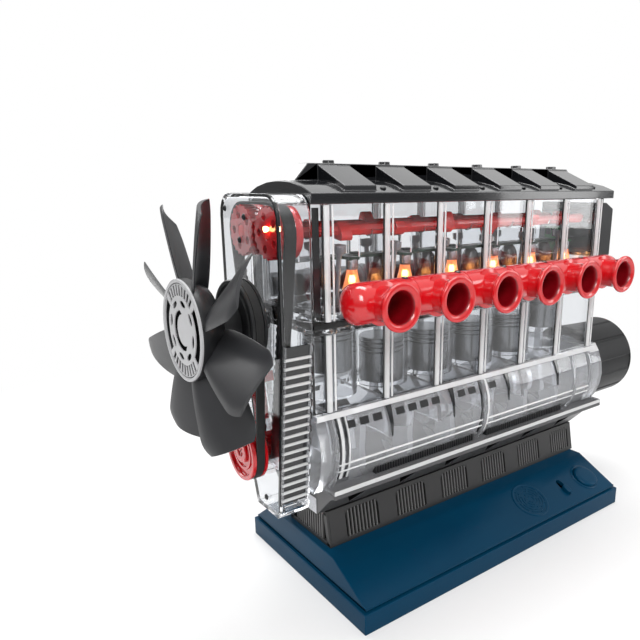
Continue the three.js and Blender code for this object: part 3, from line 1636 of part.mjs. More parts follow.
function makeFan() {
  const hubBack = -fanHubFace + fanHubThickness;
  const neckBack = pulleyFront - runningGap;
  const hub = turnedX(
    [
      [0, -fanHubFace + fanHubRingDepth],
      [fanHubRadius - fanHubRingWidth, -fanHubFace + fanHubRingDepth],
      [fanHubRadius - fanHubRingWidth, -fanHubFace],
      [fanHubRadius, -fanHubFace],
      [fanHubRadius, hubBack],
      [fanBladeRoot + fanHubThickness / 2, -fanHubFace + fanBladeSetback + fanHubThickness],
      [fanNeckRadius, -fanHubFace + fanBladeSetback + fanHubThickness * 1.6],
      [fanNeckRadius, neckBack],
      [0, neckBack],
    ],
    roundSides,
  );
  const blades = Array.from({ length: fanBladeCount }, (_, i) =>
    fanBlade().translate(-fanHubFace + fanBladeSetback, 0, 0).rotateX(((i + 0.35) * turn) / fanBladeCount),
  );
  return join(hub, blades);
}

// Assembly
addPiece("base_plate", "blue", geometryFrom(makeBasePlate()));
addPiece("base_cover", "blue", geometryFrom(makeBaseCover()));
addPiece("battery_door", "blue", geometryFrom(makeBatteryDoor()));
addPiece("speaker", "matte_black", geometryFrom(makeSpeaker()), slopeFrame);
addPiece("start_button", "blue", geometryFrom(makeStartButton()), slopeFrame);
addPiece("sound_switch", "blue", geometryFrom(makeSoundSwitch()), slopeFrame);
addPiece("oil_pan", "matte_black", geometryFrom(makeOilPan()));
addPiece("bedplate", "matte_black", geometryFrom(makeBedplate()));
addPiece("crankcase", "clear", geometryFrom(makeCrankcase()));
addPiece("cylinder_block", "clear", geometryFrom(makeCylinderBlock()));
addPiece("cylinder_head", "clear", geometryFrom(makeCylinderHead()));
addPiece("valve_cover", "gloss_black", geometryFrom(makeValveCover()));
addPiece("timing_cover", "clear", geometryFrom(makeTimingCover()));
addPiece("bell_housing", "matte_black", geometryFrom(makeBellHousing()));
addPiece("rear_box", "matte_black", geometryFrom(makeRearBox()));
addPiece("intake_manifold", "red", geometryFrom(makeIntakeManifold()));
addPiece("exhaust_manifold", "grey", geometryFrom(makeExhaustManifold()));
addPiece("light_board", "circuit_green", geometryFrom(makeLightBoard()));
addPiece("timing_belt", "rubber", geometryFrom(makeTimingBelt()));
addPiece("belt_guide", "red", geometryFrom(makeBeltGuide()));
addPiece("fan_belt", "rubber", geometryFrom(makeFanBelt()));

const crankLine = new THREE.Group();
crankLine.position.z = crankHeight;
engine.add(crankLine);
addPiece("crankshaft", "silver", geometryFrom(makeCrankshaft()), crankLine);
addPiece("crank_pulley", "red", geometryFrom(makeCrankPulley()), crankLine);
addPiece("flywheel", "grey", geometryFrom(makeFlywheel()), crankLine);
const crankSprocket = makeSprocket(crankTeeth, crankSprocketRadius, snoutRadius + runningGap, 0);
addPiece("crank_sprocket", "red", geometryFrom(crankSprocket), crankLine);
const motorLine = new THREE.Group();
motorLine.position.z = -motorDrop;
crankLine.add(motorLine);
addPiece("motor", "silver", geometryFrom(makeMotor()), motorLine);
addPiece("motor_pinion", "grey", geometryFrom(makeMotorPinion()), motorLine);

const dowelGeometry = geometryFrom(makeDowel());
["a", "b", "c"].slice(0, dowelCount).forEach((letter, i) => {
  const dowel = addPiece(`flywheel_dowel_${letter}`, "silver", dowelGeometry, crankLine);
  dowel.position.set(0, ...dowelPlace(i));
});

const rodGeometry = geometryFrom(makeRod());
const pistonGeometry = geometryFrom(makePiston());
cylinders.forEach((k) => {
  const phase = throwTurn(k);
  const lift = throwRadius * Math.cos(phase);
  const conrod = addPiece(`connecting_rod_${k + 1}`, "silver", rodGeometry, crankLine);
  conrod.position.set(cylinderX(k), -throwRadius * Math.sin(phase), lift);
  const piston = addPiece(`piston_${k + 1}`, "silver", pistonGeometry, crankLine);
  piston.position.set(cylinderX(k), 0, lift + rodLength);
});

const valveGeometry = geometryFrom(makeValve());
const camSprocket = geometryFrom(
  makeSprocket(camTeeth, camSprocketRadius, camJournalRadius + runningGap, sprocketHoleCount),
);
const camSides = [
  { name: "intake", side: -1, phase: turn * 0.35 },
  { name: "exhaust", side: 1, phase: turn * 0.65 },
];
for (const { name, side, phase } of camSides) {
  const camLine = new THREE.Group();
  camLine.position.set(0, side * camSpread, camHeight);
  engine.add(camLine);
  addPiece(`${name}_camshaft`, "red", geometryFrom(makeCamshaft(phase)), camLine);
  addPiece(`${name}_cam_sprocket`, "red", camSprocket, camLine);
  for (let k = 0; k < cylinderCount; k += 1) {
    const valve = addPiece(`${name}_valve_${k + 1}`, "grey", valveGeometry);
    valve.rotation.x = -side * valveTilt;
    valve.position.set(
      cylinderX(k),
      side * (valveSeatSpread + valveRecess * Math.sin(valveTilt)),
      deckHeight + valveRecess * Math.cos(valveTilt),
    );
  }
}

const fanLine = new THREE.Group();
fanLine.position.z = fanHeight;
engine.add(fanLine);
addPiece("fan", "matte_black", geometryFrom(makeFan()), fanLine);
addPiece("fan_pulley", "matte_black", geometryFrom(makeFanPulley()), fanLine);

export default engine;
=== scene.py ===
# %% [markdown]
# # A see-through six-cylinder desk engine
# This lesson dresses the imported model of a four-stroke desk engine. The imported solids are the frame: they say where
# each piece sits and how it moves. We add the camera, the light, the finishes and the fine shapes that a
# modelmaker's kit has, such as rolled trumpet rims, piston rings, fins and screws.

# %% Load the frame and keep its box
import bpy
import bmesh
import json
import math
from mathutils import Matrix, Vector

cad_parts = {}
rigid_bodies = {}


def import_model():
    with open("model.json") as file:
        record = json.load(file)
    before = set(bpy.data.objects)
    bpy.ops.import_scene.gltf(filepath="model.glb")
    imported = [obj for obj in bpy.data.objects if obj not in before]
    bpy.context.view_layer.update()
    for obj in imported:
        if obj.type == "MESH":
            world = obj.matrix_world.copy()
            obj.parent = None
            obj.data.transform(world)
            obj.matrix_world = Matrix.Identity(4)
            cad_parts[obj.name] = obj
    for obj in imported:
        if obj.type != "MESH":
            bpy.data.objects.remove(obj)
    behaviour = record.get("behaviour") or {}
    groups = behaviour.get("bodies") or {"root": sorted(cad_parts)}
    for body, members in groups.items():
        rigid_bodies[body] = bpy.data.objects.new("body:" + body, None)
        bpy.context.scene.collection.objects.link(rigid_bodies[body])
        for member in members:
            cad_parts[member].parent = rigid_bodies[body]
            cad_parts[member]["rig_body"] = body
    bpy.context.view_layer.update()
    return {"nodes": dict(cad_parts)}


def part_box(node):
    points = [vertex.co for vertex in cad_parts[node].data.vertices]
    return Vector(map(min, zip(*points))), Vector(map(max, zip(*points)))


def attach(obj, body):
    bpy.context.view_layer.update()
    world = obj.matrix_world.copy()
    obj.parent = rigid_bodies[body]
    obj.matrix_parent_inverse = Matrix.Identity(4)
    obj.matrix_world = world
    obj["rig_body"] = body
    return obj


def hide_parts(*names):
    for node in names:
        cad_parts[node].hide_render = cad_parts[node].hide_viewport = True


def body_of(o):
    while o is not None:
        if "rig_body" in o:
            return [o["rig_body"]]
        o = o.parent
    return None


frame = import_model()
nodes = frame["nodes"]

# %% [markdown]
# ## Camera
# The picture was taken a little above the base, from the front left corner. A camera fitted to the base, the housing
# edges and the six evenly spaced trumpets gives its place and its lens. The shift keeps the verticals where they are
# in the picture, which shows the object low and to the right of the middle.

# %% Camera
CAMERA_PLACE = (-0.2526, -0.2579, 0.2070)
CAMERA_LOOK = (0.592, 0.7685, -0.2424)
SENSOR_WIDTH = 36
LENS = 34.68
LENS_SHIFT = (-0.0897, 0.0317)


def placed(name, data):
    thing = bpy.data.objects.new(name, data)
    bpy.context.scene.collection.objects.link(thing)
    return thing


def aim(thing, place, look):
    thing.location = place
    thing.rotation_euler = Vector(look).to_track_quat("-Z", "Y").to_euler()


def add_camera():
    data = bpy.data.cameras.new("studio_camera")
    data.sensor_width = SENSOR_WIDTH
    data.lens = LENS
    data.shift_x, data.shift_y = LENS_SHIFT
    data.clip_start = 0.01
    camera = placed("studio_camera", data)
    aim(camera, CAMERA_PLACE, Vector(CAMERA_LOOK).normalized())
    bpy.context.scene.camera = camera
    return camera


camera = add_camera()
print("camera at", tuple(round(v, 3) for v in camera.location))

# %% [markdown]
# ## Shared shader groups
# Moulded plastic is never one flat colour: the pigment is a little cloudy, the polish varies, and there is a fine
# skin texture. One group makes all three from noise on Object coordinates, so that each finish below only sets its
# own numbers. A second group puts a little dust on the faces that look up.


# %% Small helpers for shader trees
def socket(group, name, kind, value=None, out=False):
    made = group.interface.new_socket(name, in_out="OUTPUT" if out else "INPUT", socket_type="NodeSocket" + kind)
    if value is not None:
        made.default_value = value
    return made


def node(tree, kind, **values):
    made = tree.nodes.new(kind)
    for key, value in values.items():
        if hasattr(made, key):
            setattr(made, key, value)
        else:
            made.inputs[key.replace("_", " ")].default_value = value
    return made


def maths(tree, operation, a, b=None, c=None, clamp=False):
    made = tree.nodes.new("ShaderNodeMath")
    made.operation = operation
    made.use_clamp = clamp
    for place, value in enumerate((a, b, c)):
        if value is None:
            continue
        if isinstance(value, (int, float)):
            made.inputs[place].default_value = value
        else:
            tree.links.new(value, made.inputs[place])
    return made.outputs[0]


def blend_colours(tree, factor, a, b):
    made = tree.nodes.new("ShaderNodeMix")
    made.data_type = "RGBA"
    for place, value in ((0, factor), (6, a), (7, b)):
        if isinstance(value, (int, float, tuple)):
            made.inputs[place].default_value = value
        else:
            tree.links.new(value, made.inputs[place])
    return made.outputs[2]


def rising(tree, value, low, high, start=0.0, end=1.0):
    made = node(tree, "ShaderNodeMapRange", clamp=True)
    for key, amount in (("From Min", low), ("From Max", high), ("To Min", start), ("To Max", end)):
        made.inputs[key].default_value = amount
    tree.links.new(value, made.inputs["Value"])
    return made.outputs["Result"]


# %% The moulded skin group: cloudy pigment, uneven polish and fine grain
def moulded_group():
    group = bpy.data.node_groups.new("moulded skin", "ShaderNodeTree")
    link = group.links.new
    socket(group, "Colour", "Color", (0.5, 0.5, 0.5, 1))
    socket(group, "Cloud Colour", "Color", (0.4, 0.4, 0.4, 1))
    socket(group, "Cloud Scale", "Float", 40.0)
    socket(group, "Roughness", "Float", 0.4)
    socket(group, "Roughness Spread", "Float", 0.1)
    socket(group, "Grain Scale", "Float", 900.0)
    socket(group, "Colour", "Color", out=True)
    socket(group, "Roughness", "Float", out=True)
    socket(group, "Height", "Float", out=True)
    start = group.nodes.new("NodeGroupInput")
    end = group.nodes.new("NodeGroupOutput")
    place = group.nodes.new("ShaderNodeTexCoord").outputs["Object"]
    cloud = node(group, "ShaderNodeTexNoise", Detail=4.0, Roughness=0.6)
    link(place, cloud.inputs["Vector"])
    link(start.outputs["Cloud Scale"], cloud.inputs["Scale"])
    colour = blend_colours(group, cloud.outputs["Fac"], start.outputs["Colour"], start.outputs["Cloud Colour"])
    link(colour, end.inputs["Colour"])
    polish = node(group, "ShaderNodeTexNoise", Scale=130.0, Detail=5.0, Roughness=0.7)
    link(place, polish.inputs["Vector"])
    centred = maths(group, "SUBTRACT", polish.outputs["Fac"], 0.5)
    uneven = maths(group, "MULTIPLY", centred, start.outputs["Roughness Spread"])
    rough = maths(group, "ADD", uneven, start.outputs["Roughness"], clamp=True)
    link(rough, end.inputs["Roughness"])
    grain = node(group, "ShaderNodeTexNoise", Detail=2.0)
    link(place, grain.inputs["Vector"])
    link(start.outputs["Grain Scale"], grain.inputs["Scale"])
    link(grain.outputs["Fac"], end.inputs["Height"])
    return group


MOULDED = moulded_group()
print("made", MOULDED.name)


# %% The dust group: a thin pale film on faces that look up
def dust_group():
    group = bpy.data.node_groups.new("settled dust", "ShaderNodeTree")
    link = group.links.new
    socket(group, "Colour", "Color", (0.5, 0.5, 0.5, 1))
    socket(group, "Roughness", "Float", 0.4)
    socket(group, "Amount", "Float", 0.1)
    socket(group, "Colour", "Color", out=True)
    socket(group, "Roughness", "Float", out=True)
    start = group.nodes.new("NodeGroupInput")
    end = group.nodes.new("NodeGroupOutput")
    normal = group.nodes.new("ShaderNodeNewGeometry").outputs["Normal"]
    parts = group.nodes.new("ShaderNodeSeparateXYZ")
    link(normal, parts.inputs[0])
    place = group.nodes.new("ShaderNodeTexCoord").outputs["Object"]
    patch = node(group, "ShaderNodeTexNoise", Scale=70.0, Detail=6.0, Roughness=0.75)
    link(place, patch.inputs["Vector"])
    up = maths(group, "MAXIMUM", parts.outputs["Z"], 0.0)
    spread = maths(group, "MULTIPLY", up, patch.outputs["Fac"])
    mask = maths(group, "MULTIPLY", spread, start.outputs["Amount"], clamp=True)
    colour = blend_colours(group, mask, start.outputs["Colour"], (0.55, 0.55, 0.55, 1))
    link(colour, end.inputs["Colour"])
    matted = maths(group, "MULTIPLY_ADD", mask, 0.6, start.outputs["Roughness"], clamp=True)
    link(matted, end.inputs["Roughness"])
    return group


DUST = dust_group()
print("made", DUST.name)

# %% [markdown]
# ## The finishes
# Each plastic is the moulded skin with its own colour and gloss, then a touch of dust. The shader's own constants,
# such as metal, coat and see-through weight, stay on the shader.


# %% A moulded plastic
GRAIN_HEIGHT = 0.0002


def plastic(name, colour, cloud, rough, spread=0.1, dust=0.06, grain=900.0, bump=0.05, **shader):
    material = bpy.data.materials.new(name)
    material.use_nodes = True
    tree = material.node_tree
    link = tree.links.new
    surface = tree.nodes["Principled BSDF"]
    skin = node(tree, "ShaderNodeGroup", node_tree=MOULDED, Colour=(*colour, 1), Cloud_Colour=(*cloud, 1),
                Roughness=rough, Roughness_Spread=spread, Grain_Scale=grain)
    film = node(tree, "ShaderNodeGroup", node_tree=DUST, Amount=dust)
    for channel, end in (("Colour", "Base Color"), ("Roughness", "Roughness")):
        link(skin.outputs[channel], film.inputs[channel])
        link(film.outputs[channel], surface.inputs[end])
    raised = node(tree, "ShaderNodeBump", Strength=bump, Distance=GRAIN_HEIGHT)
    link(skin.outputs["Height"], raised.inputs["Height"])
    link(raised.outputs["Normal"], surface.inputs["Normal"])
    for key, value in shader.items():
        surface.inputs[key.replace("_", " ")].default_value = value
    material.diffuse_color = (*colour, 1)
    return material


gloss_black = plastic("gloss black plastic", (0.006, 0.0066, 0.0078), (0.012, 0.013, 0.015), 0.15, dust=0.02,
                      Coat_Weight=0.45, Coat_Roughness=0.05, Specular_IOR_Level=0.4)
satin_black = plastic("satin black plastic", (0.0085, 0.009, 0.01), (0.016, 0.0165, 0.018), 0.36, dust=0.03,
                      bump=0.12, Specular_IOR_Level=0.32)
fan_black = plastic("fan charcoal plastic", (0.017, 0.0175, 0.0195), (0.026, 0.0265, 0.029), 0.34, dust=0.015,
                    bump=0.1, Specular_IOR_Level=0.4)
bell_black = plastic("bell housing black", (0.006, 0.0063, 0.007), (0.011, 0.0115, 0.0125), 0.42, dust=0.01,
                     bump=0.1, Specular_IOR_Level=0.2)
kit_red = plastic("glossy red plastic", (0.6, 0.004, 0.008), (0.48, 0.002, 0.006), 0.16, dust=0.01,
                  Coat_Weight=0.5, Coat_Roughness=0.05)
# The camshaft red is lighter than the wheels' red: painted light for light reaching it through the clear head.
cam_red_painted_light = plastic("red plastic painted lighter", (0.86, 0.02, 0.015), (0.72, 0.014, 0.012), 0.2, dust=0.0)
# The throat red is painted shade for the inside of the trumpets.
throat_painted_shade_red = plastic("red throat painted shade", (0.24, 0.002, 0.006), (0.16, 0.001, 0.004), 0.3, dust=0.0)
petrol_blue = plastic("petrol blue plastic", (0.0, 0.041, 0.088), (0.0, 0.031, 0.072), 0.3, dust=0.004,
                      bump=0.1, Specular_IOR_Level=0.09)
bed_charcoal = plastic("charcoal plastic", (0.05, 0.0505, 0.052), (0.07, 0.0705, 0.073), 0.34, dust=0.02,
                       bump=0.12, Specular_IOR_Level=0.4)
pan_grey = plastic("dark grey pan plastic", (0.017, 0.0168, 0.0172), (0.028, 0.0277, 0.028), 0.36, dust=0.015,
                   bump=0.12, Specular_IOR_Level=0.4)
# The fins are a lighter copy of the pan grey: painted light for the light they catch.
fin_painted_light_grey = plastic("grey fin plastic painted lighter", (0.07, 0.069, 0.069), (0.09, 0.089, 0.088), 0.32, dust=0.0)
# A near-black finish that stands for shade: painted shade in gaps, pockets and recesses.
painted_shade_black = plastic("matt black painted shade", (0.002, 0.002, 0.0022), (0.004, 0.004, 0.0042), 0.8, dust=0.0,
                     Specular_IOR_Level=0.05)
web_grey = plastic("pale web plastic", (0.56, 0.57, 0.6), (0.48, 0.49, 0.52), 0.28, dust=0.0)
piston_silver = plastic("piston silver", (0.22, 0.223, 0.232), (0.15, 0.156, 0.165), 0.2, dust=0.0, Metallic=0.92)
silver = plastic("silver lacquered plastic", (0.62, 0.63, 0.65), (0.52, 0.53, 0.55), 0.24, dust=0.02,
                 Metallic=0.9)
pale_grey = plastic("pale grey plastic", (0.36, 0.37, 0.4), (0.3, 0.31, 0.33), 0.3, dust=0.03)
belt_rubber = plastic("black belt rubber", (0.01, 0.01, 0.0105), (0.018, 0.018, 0.018), 0.6, dust=0.04,
                      bump=0.3, Specular_IOR_Level=0.3)
bright_steel = plastic("bright steel", (0.56, 0.55, 0.53), (0.46, 0.45, 0.44), 0.22, dust=0.02, Metallic=1.0)
board_green = plastic("green circuit board", (0.004, 0.16, 0.03), (0.01, 0.24, 0.05), 0.3, dust=0.0)
board_dark = plastic("dark circuit board", (0.006, 0.03, 0.014), (0.01, 0.045, 0.02), 0.35, dust=0.0)
dome_brown = plastic("dark brown plastic", (0.014, 0.008, 0.006), (0.024, 0.013, 0.01), 0.2, dust=0.0,
                     Coat_Weight=0.4, Coat_Roughness=0.06)


# %% [markdown]
# ## Clear plastic
# The housings are clear styrene with real wall thickness, so a transmissive surface bends light as the real walls
# do. A faint grey tint and small polish changes keep it from looking like empty air. Two cloudier kinds let less
# light through: the frosted one is for ribs and rails, whose cloudy white is a painted highlight standing for the
# white shine of clear ribs, and the milky one is for the thick crankcase.


# %% Clear styrene
def clear(name, colour, cloud, rough, spread, bump, see_through, ior):
    return plastic(name, colour, cloud, rough, spread, dust=0.0, grain=260.0, bump=bump,
                   Transmission_Weight=see_through, IOR=ior)


clear_plastic = clear("clear plastic", (0.94, 0.95, 0.96), (0.88, 0.89, 0.91), 0.02, 0.06, 0.03, 1.0, 1.42)
# The frosted plastic's cloudy white is a painted highlight for the shine of clear ribs and rails.
frosted_painted_highlight = clear("frosted clear plastic painted highlight", (0.94, 0.945, 0.95), (0.86, 0.865, 0.87), 0.14, 0.06, 0.05, 0.38, 1.38)
milky = clear("milky clear plastic", (0.95, 0.96, 0.98), (0.87, 0.89, 0.92), 0.04, 0.05, 0.03, 0.86, 1.34)
ring_dark = plastic("dark piston ring", (0.05, 0.05, 0.055), (0.08, 0.08, 0.085), 0.3, dust=0.0, Metallic=0.8)
disc_grey = plastic("pale fan disc", (0.42, 0.42, 0.43), (0.36, 0.36, 0.37), 0.34, dust=0.03)
print("finishes", len(bpy.data.materials))

# %% [markdown]
# ## Lamp finishes
# Six small lamps glow orange between the valves. Each has a bulb that gives off light, and a clear cup with a faint
# glow of its own, which is painted light: it stands for the bulb's light caught in the cup, and fades towards its rim.
# The fade follows the height, from Object coordinates.


# %% Glowing plastics
MM = 0.001


def glowing(name, near, far, low, high, strength, body=(1.0, 0.8, 0.6), **shader):
    material = plastic(name, body, [v * 0.92 for v in body], 0.3, dust=0.0, **shader)
    tree = material.node_tree
    surface = tree.nodes["Principled BSDF"]
    place = tree.nodes.new("ShaderNodeSeparateXYZ")
    tree.links.new(tree.nodes.new("ShaderNodeTexCoord").outputs["Object"], place.inputs[0])
    fade = rising(tree, place.outputs["Z"], low * MM, high * MM)
    warm = blend_colours(tree, fade, (*far, 1), (*near, 1))
    tree.links.new(warm, surface.inputs["Emission Color"])
    surface.inputs["Emission Strength"].default_value = strength
    return material


bulb_glow = glowing("lit bulb", (1.0, 0.6, 0.22), (1.0, 0.36, 0.07), 160.0, 164.0, 14.0)
# The cup's glow is painted light, for the bulb's light caught in the clear cup.
cup_painted_glow = glowing("lamp cup painted glow", (1.0, 0.2, 0.03), (0.75, 0.3, 0.14), 157.0, 168.0, 0.3, (1.0, 0.8, 0.66),
                   Transmission_Weight=0.9, IOR=1.25)

# %% [markdown]
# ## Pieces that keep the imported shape
# The motor, its pinion and the three dowels of the flywheel sit inside the bell housing, and the loudspeaker sits
# under its grille. They are hardly seen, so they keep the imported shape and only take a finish: steel for the drive,
# satin black for the loudspeaker.

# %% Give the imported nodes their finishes
MOVING_STEEL = ["motor", "motor_pinion", "flywheel_dowel_a", "flywheel_dowel_b", "flywheel_dowel_c"]
for name in MOVING_STEEL + ["speaker"]:
    for slot in nodes[name].material_slots:
        slot.material = bright_steel if name in MOVING_STEEL else satin_black
print("finished", len(MOVING_STEEL) + 1, "nodes")

# %% [markdown]
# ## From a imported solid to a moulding
# A real moulding has no knife edges: the tool leaves a small radius that catches the light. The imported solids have
# the right walls and faces, so a copy of each is welded, its flat faces are merged, its edges get that radius, and
# only the edges that are still sharp keep a hard shade. This keeps every wall where the frame has it.

# %% Weld, round and finish
WELD_REACH = 0.002 * MM
FLAT_ANGLE = math.radians(0.3)


def box_of(name):
    return [[value / MM for value in corner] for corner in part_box(name)]


def home_of(name):
    return body_of(nodes[name])[0]


def middle_of(name):
    low, high = box_of(name)
    return [(a + b) / 2 for a, b in zip(low, high)]


def weld_copy(name):
    mesh = bmesh.new()
    mesh.from_mesh(nodes[name].data)
    bmesh.ops.remove_doubles(mesh, verts=mesh.verts, dist=WELD_REACH)
    bmesh.ops.dissolve_limit(mesh, angle_limit=FLAT_ANGLE, verts=mesh.verts, edges=mesh.edges)
    return mesh


def round_edges(mesh, width, from_angle=32, leave=None):
    limit = math.radians(from_angle)
    sharp = [e for e in mesh.edges if len(e.link_faces) == 2 and e.calc_face_angle(0) > limit]
    if leave:
        sharp = [e for e in sharp if not leave((e.verts[0].co + e.verts[1].co) / 2 / MM)]
    bmesh.ops.bevel(mesh, geom=sharp, offset=width * MM, offset_type="OFFSET", segments=2,
                    profile=0.5, affect="EDGES", clamp_overlap=False)
    return mesh


def as_data(mesh, name):
    data = bpy.data.meshes.new(name)
    mesh.to_mesh(data)
    mesh.free()
    return data


def joined(meshes):
    whole = bmesh.new()
    for mesh in meshes:
        data = as_data(mesh, "joined")
        whole.from_mesh(data)
        bpy.data.meshes.remove(data)
    return whole


def with_modifiers(thing):
    view = bpy.context.evaluated_depsgraph_get()
    return bpy.data.meshes.new_from_object(thing.evaluated_get(view))


def level_normals(piece):
    level = piece.modifiers.new("level", "WEIGHTED_NORMAL")
    level.keep_sharp = True
    level.weight = 80
    plain_data = piece.data
    piece.data = with_modifiers(piece)
    piece.modifiers.clear()
    piece.data.name = piece.name
    bpy.data.meshes.remove(plain_data)


def assemble(name, body, parts, stands_for, smooth=38):
    finishes = []
    for mesh, given in parts:
        own = given if isinstance(given, list) else [given]
        for face in mesh.faces:
            face.material_index = len(finishes) + (face.material_index if len(own) > 1 else 0)
        finishes += own
    data = as_data(joined([mesh for mesh, _ in parts]), name)
    for material in finishes:
        data.materials.append(material)
    data.polygons.foreach_set("use_smooth", [True] * len(data.polygons))
    data.set_sharp_from_angle(angle=math.radians(smooth))
    piece = placed(name, data)
    level_normals(piece)
    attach(piece, body)
    if stands_for:
        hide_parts(*stands_for)
    print(name, "on", body, len(piece.data.polygons), "faces")
    return piece


def refined(name, material, width, smooth=38, from_angle=32, extra=(), leave=None, regions=()):
    mesh = round_edges(weld_copy(name), width, from_angle, leave=leave)
    for face in mesh.faces:
        middle = face.calc_center_median() / MM
        face.material_index = next((k + 1 for k, (_, inside) in enumerate(regions) if inside(middle)), 0)
    parts = [(mesh, [material, *(other for other, _ in regions)]), *extra]
    return assemble(name + "_moulding", home_of(name), parts, (name,), smooth)


# %% [markdown]
# ## Turned and extruded shapes
# Pulleys, trumpets and pistons are turned: a profile of radius and place along the axis, swept all the way round.
# Plates and ribs are an outline pushed along one axis, and a lofted shape joins rings that differ. All helpers work
# in millimetres and close their ends. A ribbon is an outline of even width round a path.


# %% Turned shapes, prisms and blocks
def at(axis, a, b, along):
    return Vector({"x": (along, a, b), "y": (a, along, b), "z": (a, b, along)}[axis]) * MM


def skinned(mesh, rows):
    faces = [mesh.faces.new(rows[0]), mesh.faces.new(rows[-1])]
    for a, b in zip(rows, rows[1:]):
        for i in range(len(a)):
            j = (i + 1) % len(a)
            faces.append(mesh.faces.new((a[i], a[j], b[j], b[i])))
    bmesh.ops.recalc_face_normals(mesh, faces=faces)
    return mesh


def turned(profile, axis, centre=(0, 0), steps=64, ring=False, mesh=None):
    mesh = mesh or bmesh.new()
    rows = []
    for radius, along in profile:
        count = steps if radius else 1
        turns = [math.tau * i / count for i in range(count)]
        rows.append([mesh.verts.new(at(axis, centre[0] + radius * math.cos(t), centre[1] + radius * math.sin(t),
                                       along)) for t in turns])
    pairs = list(zip(rows, rows[1:])) + ([(rows[-1], rows[0])] if ring else [])
    faces = []
    for a, b in pairs:
        for i in range(steps):
            j = (i + 1) % steps
            corners = [a[i % len(a)], a[j % len(a)], b[j % len(b)], b[i % len(b)]]
            faces.append(mesh.faces.new(list(dict.fromkeys(corners))))
    bmesh.ops.recalc_face_normals(mesh, faces=faces)
    return mesh


def prism(outline, axis, low, high, mesh=None):
    mesh = mesh or bmesh.new()
    return skinned(mesh, [[mesh.verts.new(at(axis, a, b, along)) for a, b in outline] for along in (low, high)])


def block(low, high, mesh=None):
    outline = [(low[0], low[1]), (high[0], low[1]), (high[0], high[1]), (low[0], high[1])]
    return prism(outline, "z", low[2], high[2], mesh)


def rod(radius, low, high, edge):
    return [(0, low), (radius - edge, low), (radius, low + edge), (radius, high - edge), (radius - edge, high),
            (0, high)]


def lofted(rings, mesh=None):
    mesh = mesh or bmesh.new()
    return skinned(mesh, [[mesh.verts.new(Vector(point) * MM) for point in ring] for ring in rings])


def arc_turns(start, end, steps):
    return [math.radians(start + (end - start) * i / steps) for i in range(steps + 1)]


def arc_points(radius, turns, shift=(0, 0)):
    return [(radius * math.cos(t) + shift[0], radius * math.sin(t) + shift[1]) for t in turns]


def with_mirror(mesh):
    other = mesh.copy()
    other.transform(Matrix.Diagonal((1, -1, 1, 1)))
    bmesh.ops.reverse_faces(other, faces=other.faces)
    return joined([mesh, other])


def ribbon(path, width):
    sides = ([], [])
    for i, point in enumerate(path):
        before, after = path[max(i - 1, 0)], path[min(i + 1, len(path) - 1)]
        run = Vector((after[0] - before[0], after[1] - before[1])).normalized()
        for side, way in zip(sides, (1, -1)):
            side.append((point[0] - way * run.y * width / 2, point[1] + way * run.x * width / 2))
    return sides[0] + sides[1][::-1]


# %% [markdown]
# ## Copies by rule
# Fins, screws and blades repeat along a row or round an axis. Two Geometry Nodes trees do this: each takes the
# first copy's mesh, makes one point for each copy, places the copies, makes them real and sets their finish. The
# result is read back as plain mesh, because an exported model has no instances.


# %% The two trees
def copies_tree(title, round_axis):
    tree = bpy.data.node_groups.new(title, "GeometryNodeTree")
    link = tree.links.new
    socket(tree, "Geometry", "Geometry")
    socket(tree, "Geometry", "Geometry", out=True)
    socket(tree, "Count", "Int", 1)
    socket(tree, "Start", "Vector", (0, 0, 0))
    socket(tree, "Step", "Vector", (0, 0, 0))
    socket(tree, "Finish", "Material")
    start = tree.nodes.new("NodeGroupInput")
    end = tree.nodes.new("NodeGroupOutput")
    index = tree.nodes.new("GeometryNodeInputIndex")
    step = node(tree, "ShaderNodeVectorMath", operation="SCALE")
    link(start.outputs["Step"], step.inputs[0])
    link(index.outputs[0], step.inputs["Scale"])
    points = tree.nodes.new("GeometryNodePoints")
    link(start.outputs["Count"], points.inputs["Count"])
    copies = tree.nodes.new("GeometryNodeInstanceOnPoints")
    if round_axis:
        turn = tree.nodes.new("FunctionNodeEulerToRotation")
        link(step.outputs[0], turn.inputs[0])
        link(turn.outputs[0], copies.inputs["Rotation"])
        link(start.outputs["Start"], points.inputs["Position"])
    else:
        place = node(tree, "ShaderNodeVectorMath", operation="ADD")
        link(start.outputs["Start"], place.inputs[0])
        link(step.outputs[0], place.inputs[1])
        link(place.outputs[0], points.inputs["Position"])
    real = tree.nodes.new("GeometryNodeRealizeInstances")
    finish = tree.nodes.new("GeometryNodeSetMaterial")
    link(points.outputs[0], copies.inputs["Points"])
    link(start.outputs["Geometry"], copies.inputs["Instance"])
    link(copies.outputs[0], real.inputs[0])
    link(real.outputs[0], finish.inputs["Geometry"])
    link(start.outputs["Finish"], finish.inputs["Material"])
    link(finish.outputs[0], end.inputs[0])
    return tree


ROW = copies_tree("copies in a row", False)
ROUND = copies_tree("copies round an axis", True)


def discard(holder):
    data = holder.data
    bpy.data.objects.remove(holder)
    bpy.data.meshes.remove(data)


def read_back(holder):
    made = with_modifiers(holder)
    result = bmesh.new()
    result.from_mesh(made)
    holder.modifiers.clear()
    discard(holder)
    bpy.data.meshes.remove(made)
    return result


def copies(tree, mesh, count, start, step, material):
    holder = placed("first copy", as_data(mesh, "first copy"))
    modifier = holder.modifiers.new("copies", "NODES")
    modifier.node_group = tree
    values = {"Count": count, "Start": start, "Step": step, "Finish": material}
    for item in tree.interface.items_tree:
        if item.in_out == "INPUT" and item.name in values:
            modifier[item.identifier] = values[item.name]
    return read_back(holder)


def row_of(mesh, count, start, step, material):
    return copies(ROW, mesh, count, [v * MM for v in start], [v * MM for v in step], material)


def round_of(mesh, count, centre, step, material):
    return copies(ROUND, mesh, count, [v * MM for v in centre], step, material)


